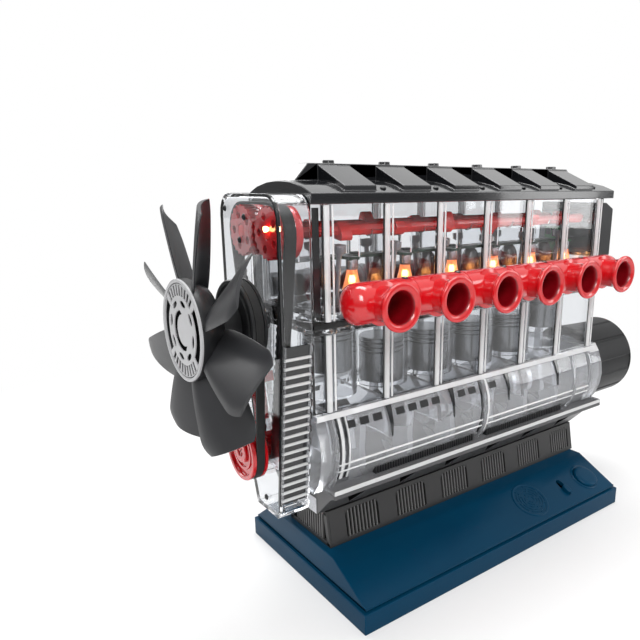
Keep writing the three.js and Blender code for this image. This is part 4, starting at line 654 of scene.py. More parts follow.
# %% [markdown]
# Slots, vents, throats and the crosses of the screws are cut out of a closed shape by a second closed shape. The
# Boolean modifier does this exactly, and the result is read back as plain mesh.

# %% Cutting one closed shape from another
def cut(mesh, tool):
    kept, cutter = (placed("cut shape", as_data(part, "cut shape")) for part in (mesh, tool))
    knife = kept.modifiers.new("cut", "BOOLEAN")
    knife.operation = "DIFFERENCE"
    knife.solver = "EXACT"
    knife.use_self = True
    knife.object = cutter
    result = read_back(kept)
    discard(cutter)
    return result


# %% [markdown]
# ## A pan-head screw
# One is turned from a domed profile, its cross is cut, and rows of it are copied to the flanges.


# %% Screw
def screw(axis, facing, radius, height):
    dome = [(0, 0), (radius, 0), (radius, height * 0.35), (radius * 0.75, height * 0.8),
            (radius * 0.35, height), (0, height)]
    head = turned([(r, facing * h) for r, h in dome], axis, steps=20)
    slot = radius * 0.16
    reach = radius * 0.6
    low, high = sorted((facing * height * 0.35, facing * (height + 1)))
    cross = [(-reach, -slot), (-slot, -slot), (-slot, -reach), (slot, -reach), (slot, -slot), (reach, -slot),
             (reach, slot), (slot, slot), (slot, reach), (-slot, reach), (-slot, slot), (-reach, slot)]
    return cut(head, prism(cross, axis, low, high))


# %% [markdown]
# ## Console base
# The base is a shallow tray with a cover that slopes down at the front. Both are thick mouldings with soft edges.
# The loudspeaker grille is rings of narrow arcs, cut into a thin disc over the loudspeaker. The arcs stop just short
# of its back, and their floors are satin black, the loudspeaker's colour and painted shade together.

# %% The plane of the sloping panel
def sloping_frame():
    faces = [p for p in nodes["base_cover"].data.polygons if p.normal.y < -0.2 and p.normal.z > 0.5]
    face = max(faces, key=lambda p: p.area)
    up = face.normal.normalized()
    across = Vector((1, 0, 0))
    return face.center / MM, across, up.cross(across), up


SLOPE_POINT, ACROSS, UPHILL, OUTWARD = sloping_frame()


def foot_of(name):
    middle = Vector(middle_of(name))
    return middle + OUTWARD * OUTWARD.dot(SLOPE_POINT - middle)


def onto_slope(mesh, foot):
    turn = Matrix((ACROSS, UPHILL, OUTWARD)).transposed().to_4x4()
    mesh.transform(Matrix.Translation(foot * MM) @ turn)
    return mesh


SPEAKER_FOOT = foot_of("speaker")
CONTROL_FEET = [SPEAKER_FOOT, foot_of("sound_switch"), foot_of("start_button")]
print("speaker foot", [round(v, 1) for v in SPEAKER_FOOT])


# %% Base, tray and door
CONTROL_REACH = 14.5


def near_controls(point):
    return any((point - foot).length < CONTROL_REACH for foot in CONTROL_FEET)


refined("base_cover", petrol_blue, 0.6, leave=near_controls)
for name, width in (("base_plate", 0.6), ("battery_door", 0.3), ("start_button", 0.6), ("sound_switch", 0.35)):
    refined(name, petrol_blue, width)


# %% Grille rings by copies round an axis
GRILLE_RADIUS = 12.2
GRILLE_RINGS = ((2.2, 3), (4.1, 4), (6.0, 5), (7.9, 6), (9.8, 7))
GRILLE_SLOT = 1.1
GRILLE_GAP = 1.3
GRILLE_STAGGER = 0.4
COLLAR = ((8.0, -0.3), (9.9, -0.3), (9.9, 0.2), (8.9, 0.55), (8.0, 0.2))


def grille_slot(radius, start, end):
    turns = [start + (end - start) * i / 10 for i in range(11)]
    outer, inner = radius + GRILLE_SLOT / 2, radius - GRILLE_SLOT / 2
    return prism(arc_points(outer, turns) + arc_points(inner, turns[::-1]), "z", 0.02, 1.5)


def make_grille():
    r = GRILLE_RADIUS
    disc = turned([(0, -0.3), (r, -0.3), (r, 0.25), (r - 0.4, 0.5), (r - 1.0, 0.5), (r - 1.3, 0.32), (0, 0.32)],
                  "z", steps=72)
    rings = []
    for radius, count in GRILLE_RINGS:
        step = math.tau / count
        gap = GRILLE_GAP / radius
        first = grille_slot(radius, gap / 2, step - gap / 2)
        ring = round_of(first, count, (0, 0, 0), (0, 0, step), petrol_blue)
        ring.transform(Matrix.Rotation(GRILLE_STAGGER * radius, 4, "Z"))
        rings.append(ring)
    disc = onto_slope(cut(disc, joined(rings)), SPEAKER_FOOT)
    # Slot floors take satin black: painted shade, standing for the dark loudspeaker behind the slots.
    slot_floor = OUTWARD.dot(SPEAKER_FOOT) + 0.1
    for face in disc.faces:
        level = face.calc_center_median().dot(OUTWARD) / MM
        face.material_index = 1 if level < slot_floor and face.normal.dot(OUTWARD) > 0.9 else 0
    collar = onto_slope(turned(COLLAR, "z", steps=64, ring=True), foot_of("start_button"))
    parts = [(disc, [petrol_blue, satin_black]), (collar, petrol_blue)]
    return assemble("speaker_grille", "housing", parts, ())


make_grille()

# %% [markdown]
# ## Bottom end
# The oil pan carries groups of thin upright fins between plain pillars, and each group is rounded at its upper
# corners. A matt black core is pushed along the pan: its black is painted shade, so the gaps between the fins read
# dark. The fins are a lighter grey than the pan, painted light for the light they catch. Rails close its top and
# bottom, and the fins are copied in rows, one group for each cylinder. The bedplate above keeps the frame's shape.
# The pockets in its sloping skirt are matt black too: painted shade, where little light comes out of them.

# %% Oil pan
PISTON_X = [middle_of(f"piston_{k}")[0] for k in range(1, 7)]
PITCH = PISTON_X[1] - PISTON_X[0]
PAN_LOW, PAN_HIGH = box_of("oil_pan")
PAN_SLOPE = 3.7
FIN_DEPTH = 1.3
FIN_PITCH = 2.25
FIN_WIDTH = 0.85
RAIL_HEIGHT = 2.4
GROOVE_HEIGHT = 0.8
GROUP_START = -2.4
GROUP_LENGTH = 21.5
END_PILLAR = 4
CORNER = 3.0


def pan_half(z):
    return PAN_HIGH[1] - PAN_SLOPE * (z - PAN_LOW[2]) / (PAN_HIGH[2] - PAN_LOW[2])


def pan_section(inset, low, high):
    at_low, at_high = pan_half(low) - inset, pan_half(high) - inset
    return [(-at_low, low), (at_low, low), (at_high, high), (-at_high, high)]


def make_fillet(x, way, z, mesh):
    outline = [(x, z)]
    for t in arc_turns(90, 0, 6):
        outline.append((x + way * CORNER * (1 - math.cos(t)), z - CORNER * (1 - math.sin(t))))
    lofted([[(px, -pan_half(pz) + depth, pz) for px, pz in outline] for depth in (0.03, FIN_DEPTH + 0.1)], mesh)


def make_oil_pan():
    x0, x1 = PAN_LOW[0], PAN_HIGH[0]
    z0, z1 = PAN_LOW[2], PAN_HIGH[2]
    rail_top = z1 - GROOVE_HEIGHT
    pillar = (z0 + 0.5, rail_top - 0.5)
    core = prism(pan_section(FIN_DEPTH, z0 + 0.3, z1), "x", x0 + FIN_DEPTH, x1 - FIN_DEPTH)
    body = prism(pan_section(0, z0, z0 + RAIL_HEIGHT), "x", x0, x1)
    prism(pan_section(0, rail_top - RAIL_HEIGHT, rail_top), "x", x0, x1, body)
    starts = [x + GROUP_START for x in PISTON_X]
    edges = [x0 + FIN_DEPTH]
    for start in starts:
        edges += [start, min(start + GROUP_LENGTH, x1 - END_PILLAR)]
    edges.append(x1 - FIN_DEPTH)
    for low, high in zip(edges[::2], edges[1::2]):
        prism(pan_section(0.02, *pillar), "x", low, high, body)
    outer, inner = (pan_section(inset, *pillar) for inset in (0.02, CORNER))
    for low, high in ((x0, x0 + FIN_DEPTH), (x1 - FIN_DEPTH, x1)):
        for a, b in ((1, 2), (0, 3)):
            prism([outer[a], outer[b], inner[b], inner[a]], "x", low, high, body)
    round_edges(body, 0.25)
    fillets = bmesh.new()
    fins = []
    for low, high in zip(edges[1:-1:2], edges[2::2]):
        make_fillet(low, 1, rail_top - RAIL_HEIGHT, fillets)
        make_fillet(high, -1, rail_top - RAIL_HEIGHT, fillets)
        count = int((high - low) / FIN_PITCH)
        spare = (high - low - (count - 1) * FIN_PITCH - FIN_WIDTH) / 2
        fin = prism(pan_section(0.1, z0 + 1, rail_top - 1), "x", 0, FIN_WIDTH)
        fins.append((row_of(fin, count, (low + spare, 0, 0), (FIN_PITCH, 0, 0), fin_painted_light_grey), fin_painted_light_grey))
    wide = pan_half(z1) - 3.6
    count = int(2 * wide / FIN_PITCH) + 1
    end_fin = block((x0 + 0.1, -FIN_WIDTH / 2, z0 + 1), (x1 - 0.1, FIN_WIDTH / 2, rail_top - 1))
    end_row = row_of(end_fin, count, (0, -(count - 1) * FIN_PITCH / 2, 0), (0, FIN_PITCH, 0), fin_painted_light_grey)
    parts = [(core, painted_shade_black), (body, pan_grey), (with_mirror(fillets), pan_grey), *fins, (end_row, fin_painted_light_grey)]
    return assemble("oil_pan_finned", "housing", parts, ("oil_pan",))


make_oil_pan()

# %% Bedplate
FLANGE_LOW = box_of("crankcase")[0][2]
SKIRT_LINE = (0.718, -0.696, -20.17)
SKIRT_LOW, SKIRT_HIGH = 46, 59.5
SKIRT_INNER = 16
RECESS_DEPTH = (0.3, 2.2)


def in_recess(point):
    depth = SKIRT_LINE[2] - SKIRT_LINE[0] * abs(point.y) - SKIRT_LINE[1] * point.z
    on_skirt = SKIRT_LOW < point.z < SKIRT_HIGH and abs(point.y) > SKIRT_INNER
    return on_skirt and RECESS_DEPTH[0] < depth < RECESS_DEPTH[1]


def over_flange(point):
    return point.z > FLANGE_LOW + 0.5


# The pockets in the skirt take the matt black painted shade.
refined("bedplate", bed_charcoal, 0.25, regions=[(web_grey, over_flange), (painted_shade_black, in_recess)])

# %% [markdown]
# ## Clear housings
# The block, head, crankcase and timing cover are clear mouldings. Their edges bend the light, so each is seen by
# its dark and bright outlines. The radius on the edges is what draws these lines. The crankcase also has narrow
# gussets under its rail, bands round its ends and its middle, two beads along each side, and a row of fine ribs and
# small dark windows behind its wall. They are laid on the wall as thin shapes, because they follow its curve. The
# gussets are gloss black for painted shade, and the dark bands are painted dark outlines. The pale bands, the beads,
# the flange and the rail are frosted: painted highlights on real shapes.

# %% Crankcase
CASE_LOW, CASE_HIGH = box_of("crankcase")
WALL_ROUND = 0.22
FLANGE_THICK, FLANGE_INNER = 2.4, 32.4
RAIL_THICK, RAIL_INNER = 3.2, 27
INNER_BAND = 16.0
INNER_HALF = 24.6
GUSSET_X = (-69.0, -25.6, 19.3, 66.0)
GUSSET_HALF, FOOT_HALF = 1.35, 0.22
GUSSET_DEPTH, FOOT_DEPTH = 0.9, 0.35
CASE_MIDDLE = 83.6
CASE_RADIUS = 32.3
PALE_BANDS = ((1.7, 0.9), (-99.2, 0.8), (-95.4, 0.35))
DARK_BANDS = ((-3.4, 0.55), (-100.8, 0.5), (-96.9, 0.6))
BEADS = ((-32.0, 77.2, 0.55), (-31.35, 73.6, 0.4))
BEAD_RUNS = ((-101.5, -2.4), (0.6, 82.8), (85.8, 99.8))
RIB = ((-26.1, 64.85), (-29.2, 64.85), (-29.2, 68.4), (-28.4, 68.9))
RIB_STARTS = (-77.0, 5.0)
RIB_COUNT, RIB_PITCH = 42, 1.7
WINDOW = ((-28.5, 97.5), (-29.15, 97.75), (-30.5, 94.35), (-29.9, 94.1))
WINDOW_RUNS = ((-93.0, 3), (-62.0, 4), (-18.0, 2), (7.0, 1))
WINDOW_PITCH = 8.2
GUSSET_LINE = ((-27.0, 101.2), (-28.6, 98.6), (-30.0, 95.5), (-31.4, 91.3), (-31.9, 88.1), (-32.3, 84.6))


def on_flange(point):
    return point.z < CASE_LOW[2] + FLANGE_THICK + 0.1 and abs(point.y) > FLANGE_INNER


def on_rail(point):
    return point.z > CASE_HIGH[2] - RAIL_THICK and abs(point.y) > RAIL_INNER


# The edges round the cylinder openings stay square, so the flat faces between them keep their holes.
def inner_edge(point):
    return abs(point.z - CASE_HIGH[2]) < INNER_BAND and abs(point.y) < INNER_HALF


def make_gussets():
    mesh = bmesh.new()
    last = len(GUSSET_LINE) - 1
    for side in (1, -1):
        for x in GUSSET_X:
            rings = []
            for i, (y, z) in enumerate(GUSSET_LINE):
                half = GUSSET_HALF * (1 - i / last) + FOOT_HALF
                proud = GUSSET_DEPTH * (1 - i / last) + FOOT_DEPTH
                rings.append([(x - half, side * (y + 0.3), z), (x - half, side * (y - proud), z),
                              (x + half, side * (y - proud), z), (x + half, side * (y + 0.3), z)])
            lofted(rings, mesh)
    return mesh


def make_bands(places):
    mesh = bmesh.new()
    for x, half in places:
        rings = []
        inner, outer = CASE_RADIUS - 0.4, CASE_RADIUS + 0.35
        edge = [(x - half, inner), (x - half, outer), (x + half, outer), (x + half, inner)]
        for t in arc_turns(-27, 31, 16):
            rings.append([(px, -radius * math.cos(t), CASE_MIDDLE + radius * math.sin(t)) for px, radius in edge])
        lofted(rings, mesh)
    return with_mirror(mesh)


def make_beads():
    mesh = bmesh.new()
    for y, z, size in BEADS:
        ring = [(y + 0.4, z - size), (y - 0.15, z - size * 0.8), (y - 0.45, z), (y - 0.15, z + size * 0.8),
                (y + 0.4, z + size)]
        for low, high in BEAD_RUNS:
            prism(ring, "x", low, high, mesh)
    return mesh


def make_case_ribs():
    groups = [row_of(prism(RIB, "x", -0.4, 0.4), RIB_COUNT, (start, 0, 0), (RIB_PITCH, 0, 0), satin_black)
              for start in RIB_STARTS]
    groups += [row_of(prism(WINDOW, "x", -2.6, 2.6), count, (start, 0, 0), (WINDOW_PITCH, 0, 0), satin_black)
               for start, count in WINDOW_RUNS]
    return joined(groups)


# Gussets and dark bands are gloss black for painted shade; beads, pale bands, flange and rail are frosted for painted
# highlights.
refined("crankcase", milky, WALL_ROUND, leave=inner_edge,
        regions=[(frosted_painted_highlight, on_flange), (frosted_painted_highlight, on_rail)],
        extra=[(make_gussets(), gloss_black), (with_mirror(make_beads()), frosted_painted_highlight),
               (make_bands(PALE_BANDS), frosted_painted_highlight), (make_bands(DARK_BANDS), gloss_black),
               (with_mirror(make_case_ribs()), satin_black)])

# %% [markdown]
# Where two cylinders meet, the wall has a rib with a rounded front, frosted so that it shows a white line: a painted
# highlight on a real rib. A thin white rib beside it is a painted highlight, and a thin dark line is painted shade.
# It is the same group seven times along each side, so the row tree copies each column. Two dark strips close the
# front corners of the head.

# %% Block and head with their columns
WALL_Y = -27.6
# Each column: a frosted rib and a thin white rib for painted highlights, a thin gloss black line for painted shade.
HIGHLIGHT_AND_SHADE_COLUMNS = ((0, 1.5, 1.1, frosted_painted_highlight), (3.3, 0.5, 0.5, frosted_painted_highlight), (-2.2, 0.35, 0.25, gloss_black))


def make_columns(low, high, offset, half, proud, finish):
    front = [(half * math.cos(t), -proud * math.sin(t)) for t in arc_turns(0, 180, 10)]
    column = round_edges(prism([(half, 0.15), *front, (-half, 0.15)], "z", low, high), 0.1, from_angle=60)
    row = row_of(column, 7, (PISTON_X[0] - PITCH / 2 + offset, WALL_Y, 0), (PITCH, 0, 0), finish)
    return with_mirror(row), finish


def column_group(low, high):
    return [make_columns(low, high, *column) for column in HIGHLIGHT_AND_SHADE_COLUMNS]


def make_corner_strips(low, high):
    strip = round_edges(block((-109.8, -26.2, low), (-106.4, -25.4, high)), 0.15)
    return with_mirror(strip)


BLOCK_LOW, BLOCK_HIGH = box_of("cylinder_block")
HEAD_LOW, HEAD_HIGH = box_of("cylinder_head")
refined("cylinder_block", clear_plastic, WALL_ROUND, leave=inner_edge,
        extra=column_group(BLOCK_LOW[2] + 0.3, BLOCK_HIGH[2] - 3.0))
refined("cylinder_head", clear_plastic, WALL_ROUND,
        extra=[*column_group(HEAD_LOW[2] + 3.2, HEAD_HIGH[2] - 0.4),
               (make_corner_strips(HEAD_LOW[2] + 6, HEAD_HIGH[2] - 1.5), satin_black)])

# %% [markdown]
# ## Timing cover
# The cover over the belt is clear, with a black seal along its front edge, small dark screws and a ladder of ribs
# down its near side. The ribs are the same bar over and over, so the row tree copies one bar down the slanted wall.
# A dark strip behind them is painted shade that makes the gaps read as black, and a milky rail closes the ladder on
# each side. The bars are frosted, so their white is a painted highlight. A small glowing bulb behind the front wall
# stands for a bright glint on the upper wheels: it is painted light, and it also lights them.

# %% Timing cover
COVER_LOW, COVER_HIGH = box_of("timing_cover")
COVER_FRONT = COVER_LOW[0] + 1.4
LADDER_TOP = 139.0
LADDER_FOOT = 60.5
LADDER_Y = -29.62
LADDER_LEAN = 0.1058
LADDER_PITCH = 4.15
BAR = ((0.5, -0.8), (-0.9, -0.6), (-1.25, -0.2), (-1.25, 0.2), (-0.9, 0.6), (0.5, 0.8))
SEAL_PATH = ((-4, 203.2), (-20.4, 203.2), (-23.4, 202.2), (-26.2, 199.4), (-27.8, 195.4), (-28.2, 190),
             (-28.2, 140), (-19.6, 60))
COVER_SCREWS = ((2.6, 193.6), (8.1, 183.0), (-6.8, 59.0), (22.5, 197.0), (24.0, 150.0), (14.0, 104.0))
COVER_PAINTED_GLINT_PROFILE = ((0, 3.9), (0.8, 3.6), (1.2, 2.9), (1.2, 1.7), (0, 1.7))


def ladder_y(z):
    return LADDER_Y + LADDER_LEAN * (LADDER_TOP - z)


def make_ladder():
    x0, x1 = COVER_FRONT + 0.3, COVER_HIGH[0] - 2.2
    top, foot = ladder_y(LADDER_TOP), ladder_y(LADDER_FOOT)
    # The dark strip is painted shade behind the bars.
    strip = prism([(top + 0.9, LADDER_TOP), (top - 0.15, LADDER_TOP), (foot - 0.15, LADDER_FOOT),
                   (foot + 0.9, LADDER_FOOT)], "x", x0, x1)
    bar = round_edges(prism(BAR, "x", x0, x1), 0.12)
    count = int((LADDER_TOP - LADDER_FOOT) / LADDER_PITCH)
    start = (0, ladder_y(LADDER_FOOT + 2.2), LADDER_FOOT + 2.2)
    bars = row_of(bar, count, start, (0, -LADDER_LEAN * LADDER_PITCH, LADDER_PITCH), frosted_painted_highlight)
    rails = bmesh.new()
    for low, high in ((x0 - 0.3, x0 + 0.5), (x1 - 0.6, x1 + 0.2)):
        prism([(top + 0.9, LADDER_TOP + 0.4), (top - 1.0, LADDER_TOP + 0.4), (foot - 1.0, LADDER_FOOT),
               (foot + 0.9, LADDER_FOOT)], "x", low, high, rails)
    round_edges(rails, 0.15)
    return [(strip, gloss_black), (bars, frosted_painted_highlight), (rails, milky)]


def screws_at(places, facing, radius, height):
    heads = []
    for place in places:
        head = screw("x", facing, radius, height)
        head.transform(Matrix.Translation(Vector(place) * MM))
        heads.append(head)
    return heads


seal = prism(ribbon(SEAL_PATH, 1.25), "x", COVER_FRONT - 0.35, COVER_FRONT + 0.6)
cover_heads = joined(screws_at([(COVER_FRONT, y, z) for y, z in COVER_SCREWS], -1, 1.5, 0.9))
# This glowing bulb is painted light: it stands for a bright glint on the upper wheels.
cover_painted_glint = turned([(r, COVER_FRONT + x) for r, x in COVER_PAINTED_GLINT_PROFILE], "x", (-15.0, 189.0), 24)
refined("timing_cover", clear_plastic, WALL_ROUND,
        extra=[*make_ladder(), (seal, gloss_black), (cover_heads, satin_black), (cover_painted_glint, bulb_glow)])

# %% [markdown]
# ## Lamps over the cylinders
# A narrow dark board runs the length of the head and ends in an upright green board at the rear. Under it hang dark
# domes over the plugs, and beside each dome a small lamp in a clear cup stands in for the spark. The board and its
# chips are blocks, and the domes, plugs, bulbs and cups are turned. Plugs, lamp holders and stems share one list,
# because they are the same silver plastic.

# %% Light board
BOARD_BOX = box_of("light_board")
END_HEIGHTS = [v.co.z / MM for v in nodes["light_board"].data.vertices if v.co.x / MM < BOARD_BOX[0][0] + 0.1]
BOARD_UNDER, BOARD_TOP = min(END_HEIGHTS), max(END_HEIGHTS)
BOARD_HALF = 4.6
GREEN_FROM = 92
GREEN_END = ((92.6, -6, 157.6), (94.2, 6, 181.6))
LAMP_SHIFT = (9.0, -9.0)
TAB = 2.8
PLUG_FOOT = BOARD_BOX[0][2]
CHIPS = (((94.2, -4.6, 162), (95.7, 2.2, 168)), ((94.2, -1, 174.4), (95.5, 4.6, 179)),
         ((91.4, -4.4, 175), (92.6, -0.6, 179.6)), ((91.2, 1, 176), (92.6, 4.4, 180)))
DOME = ((0, 158.6), (4.4, 158.6), (5.3, 159.4), (5.5, 161.5), (5.4, 164.5), (4.9, 167.5), (3.8, 170.2),
        (2.2, 171.8), (0, BOARD_UNDER + 0.3))
PLUG = ((0, PLUG_FOOT), (1.5, PLUG_FOOT), (1.5, 149), (2.6, 149.4), (2.6, 152.4), (1.9, 153), (1.9, 158.9),
        (0, 158.9))
BULB = ((0, 159.6), (0.8, 159.8), (1.35, 160.5), (1.6, 161.5), (1.55, 162.6), (1.15, 163.8), (0.7, 164.7),
        (0, 165.0))
HOLDER = ((0, 164.3), (1.3, 164.3), (1.5, 164.6), (1.5, 166.8), (2.4, 167.0), (2.4, 167.4), (0, 167.4))
CUP = ((2.7, 168.6), (2.7, 166.4), (3.4, 162.8), (4.6, 158.6), (5.2, 157.2), (4.9, 157.1), (4.2, 158.5),
       (2.95, 162.7), (2.45, 166.3), (2.45, 168.6))
STEM = ((0, 167.3), (2.9, 167.3), (3.1, 168.5), (3.1, BOARD_UNDER + 0.3), (0, BOARD_UNDER + 0.3))


def make_light_board():
    x0, x1 = BOARD_BOX[0][0], BOARD_BOX[1][0]
    board = block((x0, -BOARD_HALF, BOARD_UNDER), (x1, BOARD_HALF, BOARD_TOP))
    for x in PISTON_X:
        lamp_x = x + LAMP_SHIFT[0]
        block((lamp_x - TAB, LAMP_SHIFT[1] - TAB, BOARD_UNDER + 0.02),
              (lamp_x + TAB, -BOARD_HALF + 0.5, BOARD_TOP - 0.02), board)
    block(*GREEN_END, board)
    round_edges(board, 0.15)
    for face in board.faces:
        face.material_index = 1 if face.calc_center_median().x > GREEN_FROM * MM else 0
    chips = bmesh.new()
    for low, high in CHIPS:
        block(low, high, chips)
    round_edges(chips, 0.15)
    chip = round_edges(block((-2.2, -1.5, 0), (2.2, 1.5, 1.2)), 0.12)
    row = row_of(chip, len(PISTON_X), (PISTON_X[0] + 17, 0, BOARD_TOP - 0.02), (PITCH, 0, 0), satin_black)
    legs = row_of(round_edges(block((-0.3, -2.2, 0), (0.3, 2.2, 0.5)), 0.06), 4 * len(PISTON_X),
                  (PISTON_X[0] + 4, 0, BOARD_TOP - 0.02), (PITCH / 4, 0, 0), bright_steel)
    domes, plugs, bulbs, cups = (bmesh.new() for _ in range(4))
    for x in PISTON_X:
        lamp = (x + LAMP_SHIFT[0], LAMP_SHIFT[1])
        turned(DOME, "z", (x, 0), 40, mesh=domes)
        turned(PLUG, "z", (x, 0), 32, mesh=plugs)
        turned(BULB, "z", lamp, 32, mesh=bulbs)
        turned(HOLDER, "z", lamp, 32, mesh=plugs)
        turned(CUP, "z", lamp, 40, ring=True, mesh=cups)
        turned(STEM, "z", lamp, 28, mesh=plugs)
    parts = [(board, [board_dark, board_green]), (chips, satin_black), (row, satin_black), (legs, bright_steel),
             (domes, dome_brown), (plugs, silver), (bulbs, bulb_glow), (cups, cup_painted_glow)]
    return assemble("light_board_dressed", "housing", parts, ("light_board",), 40)


make_light_board()

# %% [markdown]
# ## Covers and boxes
# The valve cover is gloss black, with raised cross blocks and a row of screws along each side. The box at the rear is
# satin, with five louvres and four screws on its back. Louvres and screw rows are copies.

# %% Covers
def cover_screws(y, z):
    head = screw("z", 1, 1.6, 1.0)
    return with_mirror(row_of(head, 6, (PISTON_X[0] + PITCH / 2, y, z), (PITCH * 0.985, 0, 0), satin_black))


def box_details():
    low, high = box_of("rear_box")
    slot = round_edges(block((0, -9, -0.7), (0.5, 9, 0.7)), 0.15)
    slots = row_of(slot, 5, (high[0] - 0.12, 0, low[2] + 8), (0, 0, 3.4), satin_black)
    corners = [(high[0] - 0.72, y, z) for y in (-18.0, 18.0) for z in (low[2] + 4.0, high[2] - 9.0)]
    return joined([slots, *screws_at(corners, 1, 1.5, 0.7)])


refined("valve_cover", gloss_black, 0.45, extra=[(cover_screws(-24.0, 205.9), satin_black)])
refined("rear_box", satin_black, 0.6, extra=[(box_details(), gloss_black)])
refined("belt_guide", kit_red, 0.3)

# %% [markdown]
# ## Exhaust manifold
# The hidden side has a plain round log on six stubs, open at its rear end. Log, stubs and flanges are turned, and
# the steel screws on the flanges are copies.

# %% Exhaust manifold
PIPE_LOW, PIPE_HIGH = box_of("exhaust_manifold")
PIPE_Z = (PIPE_LOW[2] + PIPE_HIGH[2]) / 2
PIPE_Y = 41.0


def joints(radius, collar, reach, flat):
    rows = []
    for x in PISTON_X[:-1]:
        middle = x + PITCH / 2
        rows += [(radius, middle - reach), (collar, middle - flat), (collar, middle + flat), (radius, middle + reach)]
    return rows


def make_exhaust():
    x0, x1 = PIPE_LOW[0], PIPE_HIGH[0]
    wall = PIPE_LOW[1]
    front = [(0, x0), (3.5, x0 + 0.2), (5.4, x0 + 1.0), (6.3, x0 + 2.4), (6.6, x0 + 4)]
    rear = [(6.6, x1 - 3.2), (8.0, x1 - 3.0), (8.0, x1 - 0.4), (7.6, x1), (5.2, x1), (4.8, x1 - 0.4),
            (4.8, x1 - 12), (0, x1 - 12)]
    log = turned(front + joints(6.6, 7.2, 2.4, 2.0) + rear, "x", (PIPE_Y, PIPE_Z), 56)
    stubs = bmesh.new()
    for x in PISTON_X:
        turned([(0, wall), (6.9, wall), (7.2, wall + 0.3), (7.2, wall + 1.7), (6.9, wall + 2.0), (4.9, wall + 2.2),
                (4.7, wall + 3.4), (4.9, PIPE_Y - 4.5), (0, PIPE_Y - 4.5)], "y", (x, PIPE_Z), 40, mesh=stubs)
    heads = [row_of(screw("y", 1, 1.1, 0.7), 6, (PISTON_X[0] + side * 5.9, wall + 2.0, PIPE_Z), (PITCH, 0, 0),
                    bright_steel) for side in (-1, 1)]
    parts = [(log, bed_charcoal), (stubs, bed_charcoal), (joined(heads), bright_steel)]
    return assemble("exhaust_log", "housing", parts, ("exhaust_manifold",), 40)


make_exhaust()

# %% [markdown]
# ## Bell housing
# The bell housing is a black barrel with raised panels round it. Each ring of its wall is a circle whose radius steps
# in between the panels, and the rings are lofted. The end cap is turned, and its vents are copied round and cut out.

# %% Bell housing
BELL_LOW, BELL_HIGH = box_of("bell_housing")
BELL_Z = (BELL_LOW[2] + BELL_HIGH[2]) / 2
BELL_RADIUS = (BELL_HIGH[1] - BELL_LOW[1]) / 2
BELL_WALL = 1.7
PANEL_STEP = 0.9
VENTS = 12
PANELS = ((12, 38), (44, 68), (74, 106), (112, 136), (142, 168), (192, 216), (222, 318), (324, 348))


def bell_ring(x, inset, relief=1.0):
    points = []
    for k in range(180):
        turn = 2 * k
        raised = any(low <= turn <= high for low, high in PANELS)
        radius = BELL_RADIUS - inset - (0 if raised else PANEL_STEP * relief)
        angle = math.radians(turn)
        points.append((x, radius * math.cos(angle), BELL_Z + radius * math.sin(angle)))
    return points


def make_bell():
    x0, x1 = BELL_LOW[0], BELL_HIGH[0]
    rings = [bell_ring(x0 + 1.5, BELL_WALL, 0.2), bell_ring(x0, BELL_WALL, 0.2), bell_ring(x0, 0.5),
             bell_ring(x0 + 0.5, 0), bell_ring(x1 - 5.6, 0), bell_ring(x1 - 5.0, 0.5, 0), bell_ring(x1 - 4.6, 0.2, 0),
             bell_ring(x1 - 1.2, 4.2, 0), bell_ring(x1 - 0.8, 5.0, 0)]
    hollow = lofted([bell_ring(x1 - 3.2, 5.2, 0.2), bell_ring(x0 + 1.5, BELL_WALL, 0.2)])
    shell = cut(lofted(rings), hollow)
    cap = turned([(0, x1 - 0.9), (19.6, x1 - 0.9), (19.6, x1 - 0.3), (19.3, x1), (16.4, x1), (16.1, x1 - 0.3),
                  (8.2, x1 - 0.3), (7.9, x1), (0, x1)], "x", (0, BELL_Z), 72)
    vent = block((x1 - 0.7, 10, -0.7), (x1 + 1, 14.6, 0.7))
    vents = round_of(vent, VENTS, (0, 0, 0), (math.tau / VENTS, 0, 0), satin_black)
    vents.transform(Matrix.Translation((0, 0, BELL_Z * MM)))
    cap = cut(cap, vents)
    return assemble("bell_barrel", "housing", [(shell, bell_black), (cap, bell_black)], ("bell_housing",),
                    30)


make_bell()

# %% [markdown]
# ## Intake manifold
# Six flared trumpets stand on a round log with collars at its joints. The log is turned from one profile and the
# throats are cut into it. Each trumpet is a turned tube whose rim rolls over. The inside of each throat is a darker
# red: painted shade, where little light reaches into it.

# %% Intake
LOG_LOW, LOG_HIGH = box_of("intake_manifold")
LOG_Z = (LOG_LOW[2] + LOG_HIGH[2]) / 2
LOG_Y = -40.5
LOG_RADIUS = 9.6
RIM_RADIUS = LOG_HIGH[2] - LOG_Z
MOUTH_Y = LOG_LOW[1]


def trumpet_profile():
    rim, tip = RIM_RADIUS, MOUTH_Y
    outer = [(6.6, -46), (8.3, -46), (8.3, tip + 7.6), (8.5, tip + 5.4), (9.1, tip + 3.6), (rim - 0.6, tip + 2.2),
             (rim - 0.1, tip + 1.5), (rim, tip + 0.9), (rim - 0.15, tip + 0.35), (rim - 0.6, tip)]
    inner = [(rim - 1.7, tip), (rim - 2.6, tip + 0.3), (rim - 3.3, tip + 0.9), (rim - 3.8, tip + 1.9),
             (rim - 4.1, tip + 3.4), (7.3, tip + 5.4), (6.8, tip + 7.5), (6.6, tip + 10)]
    return outer + inner


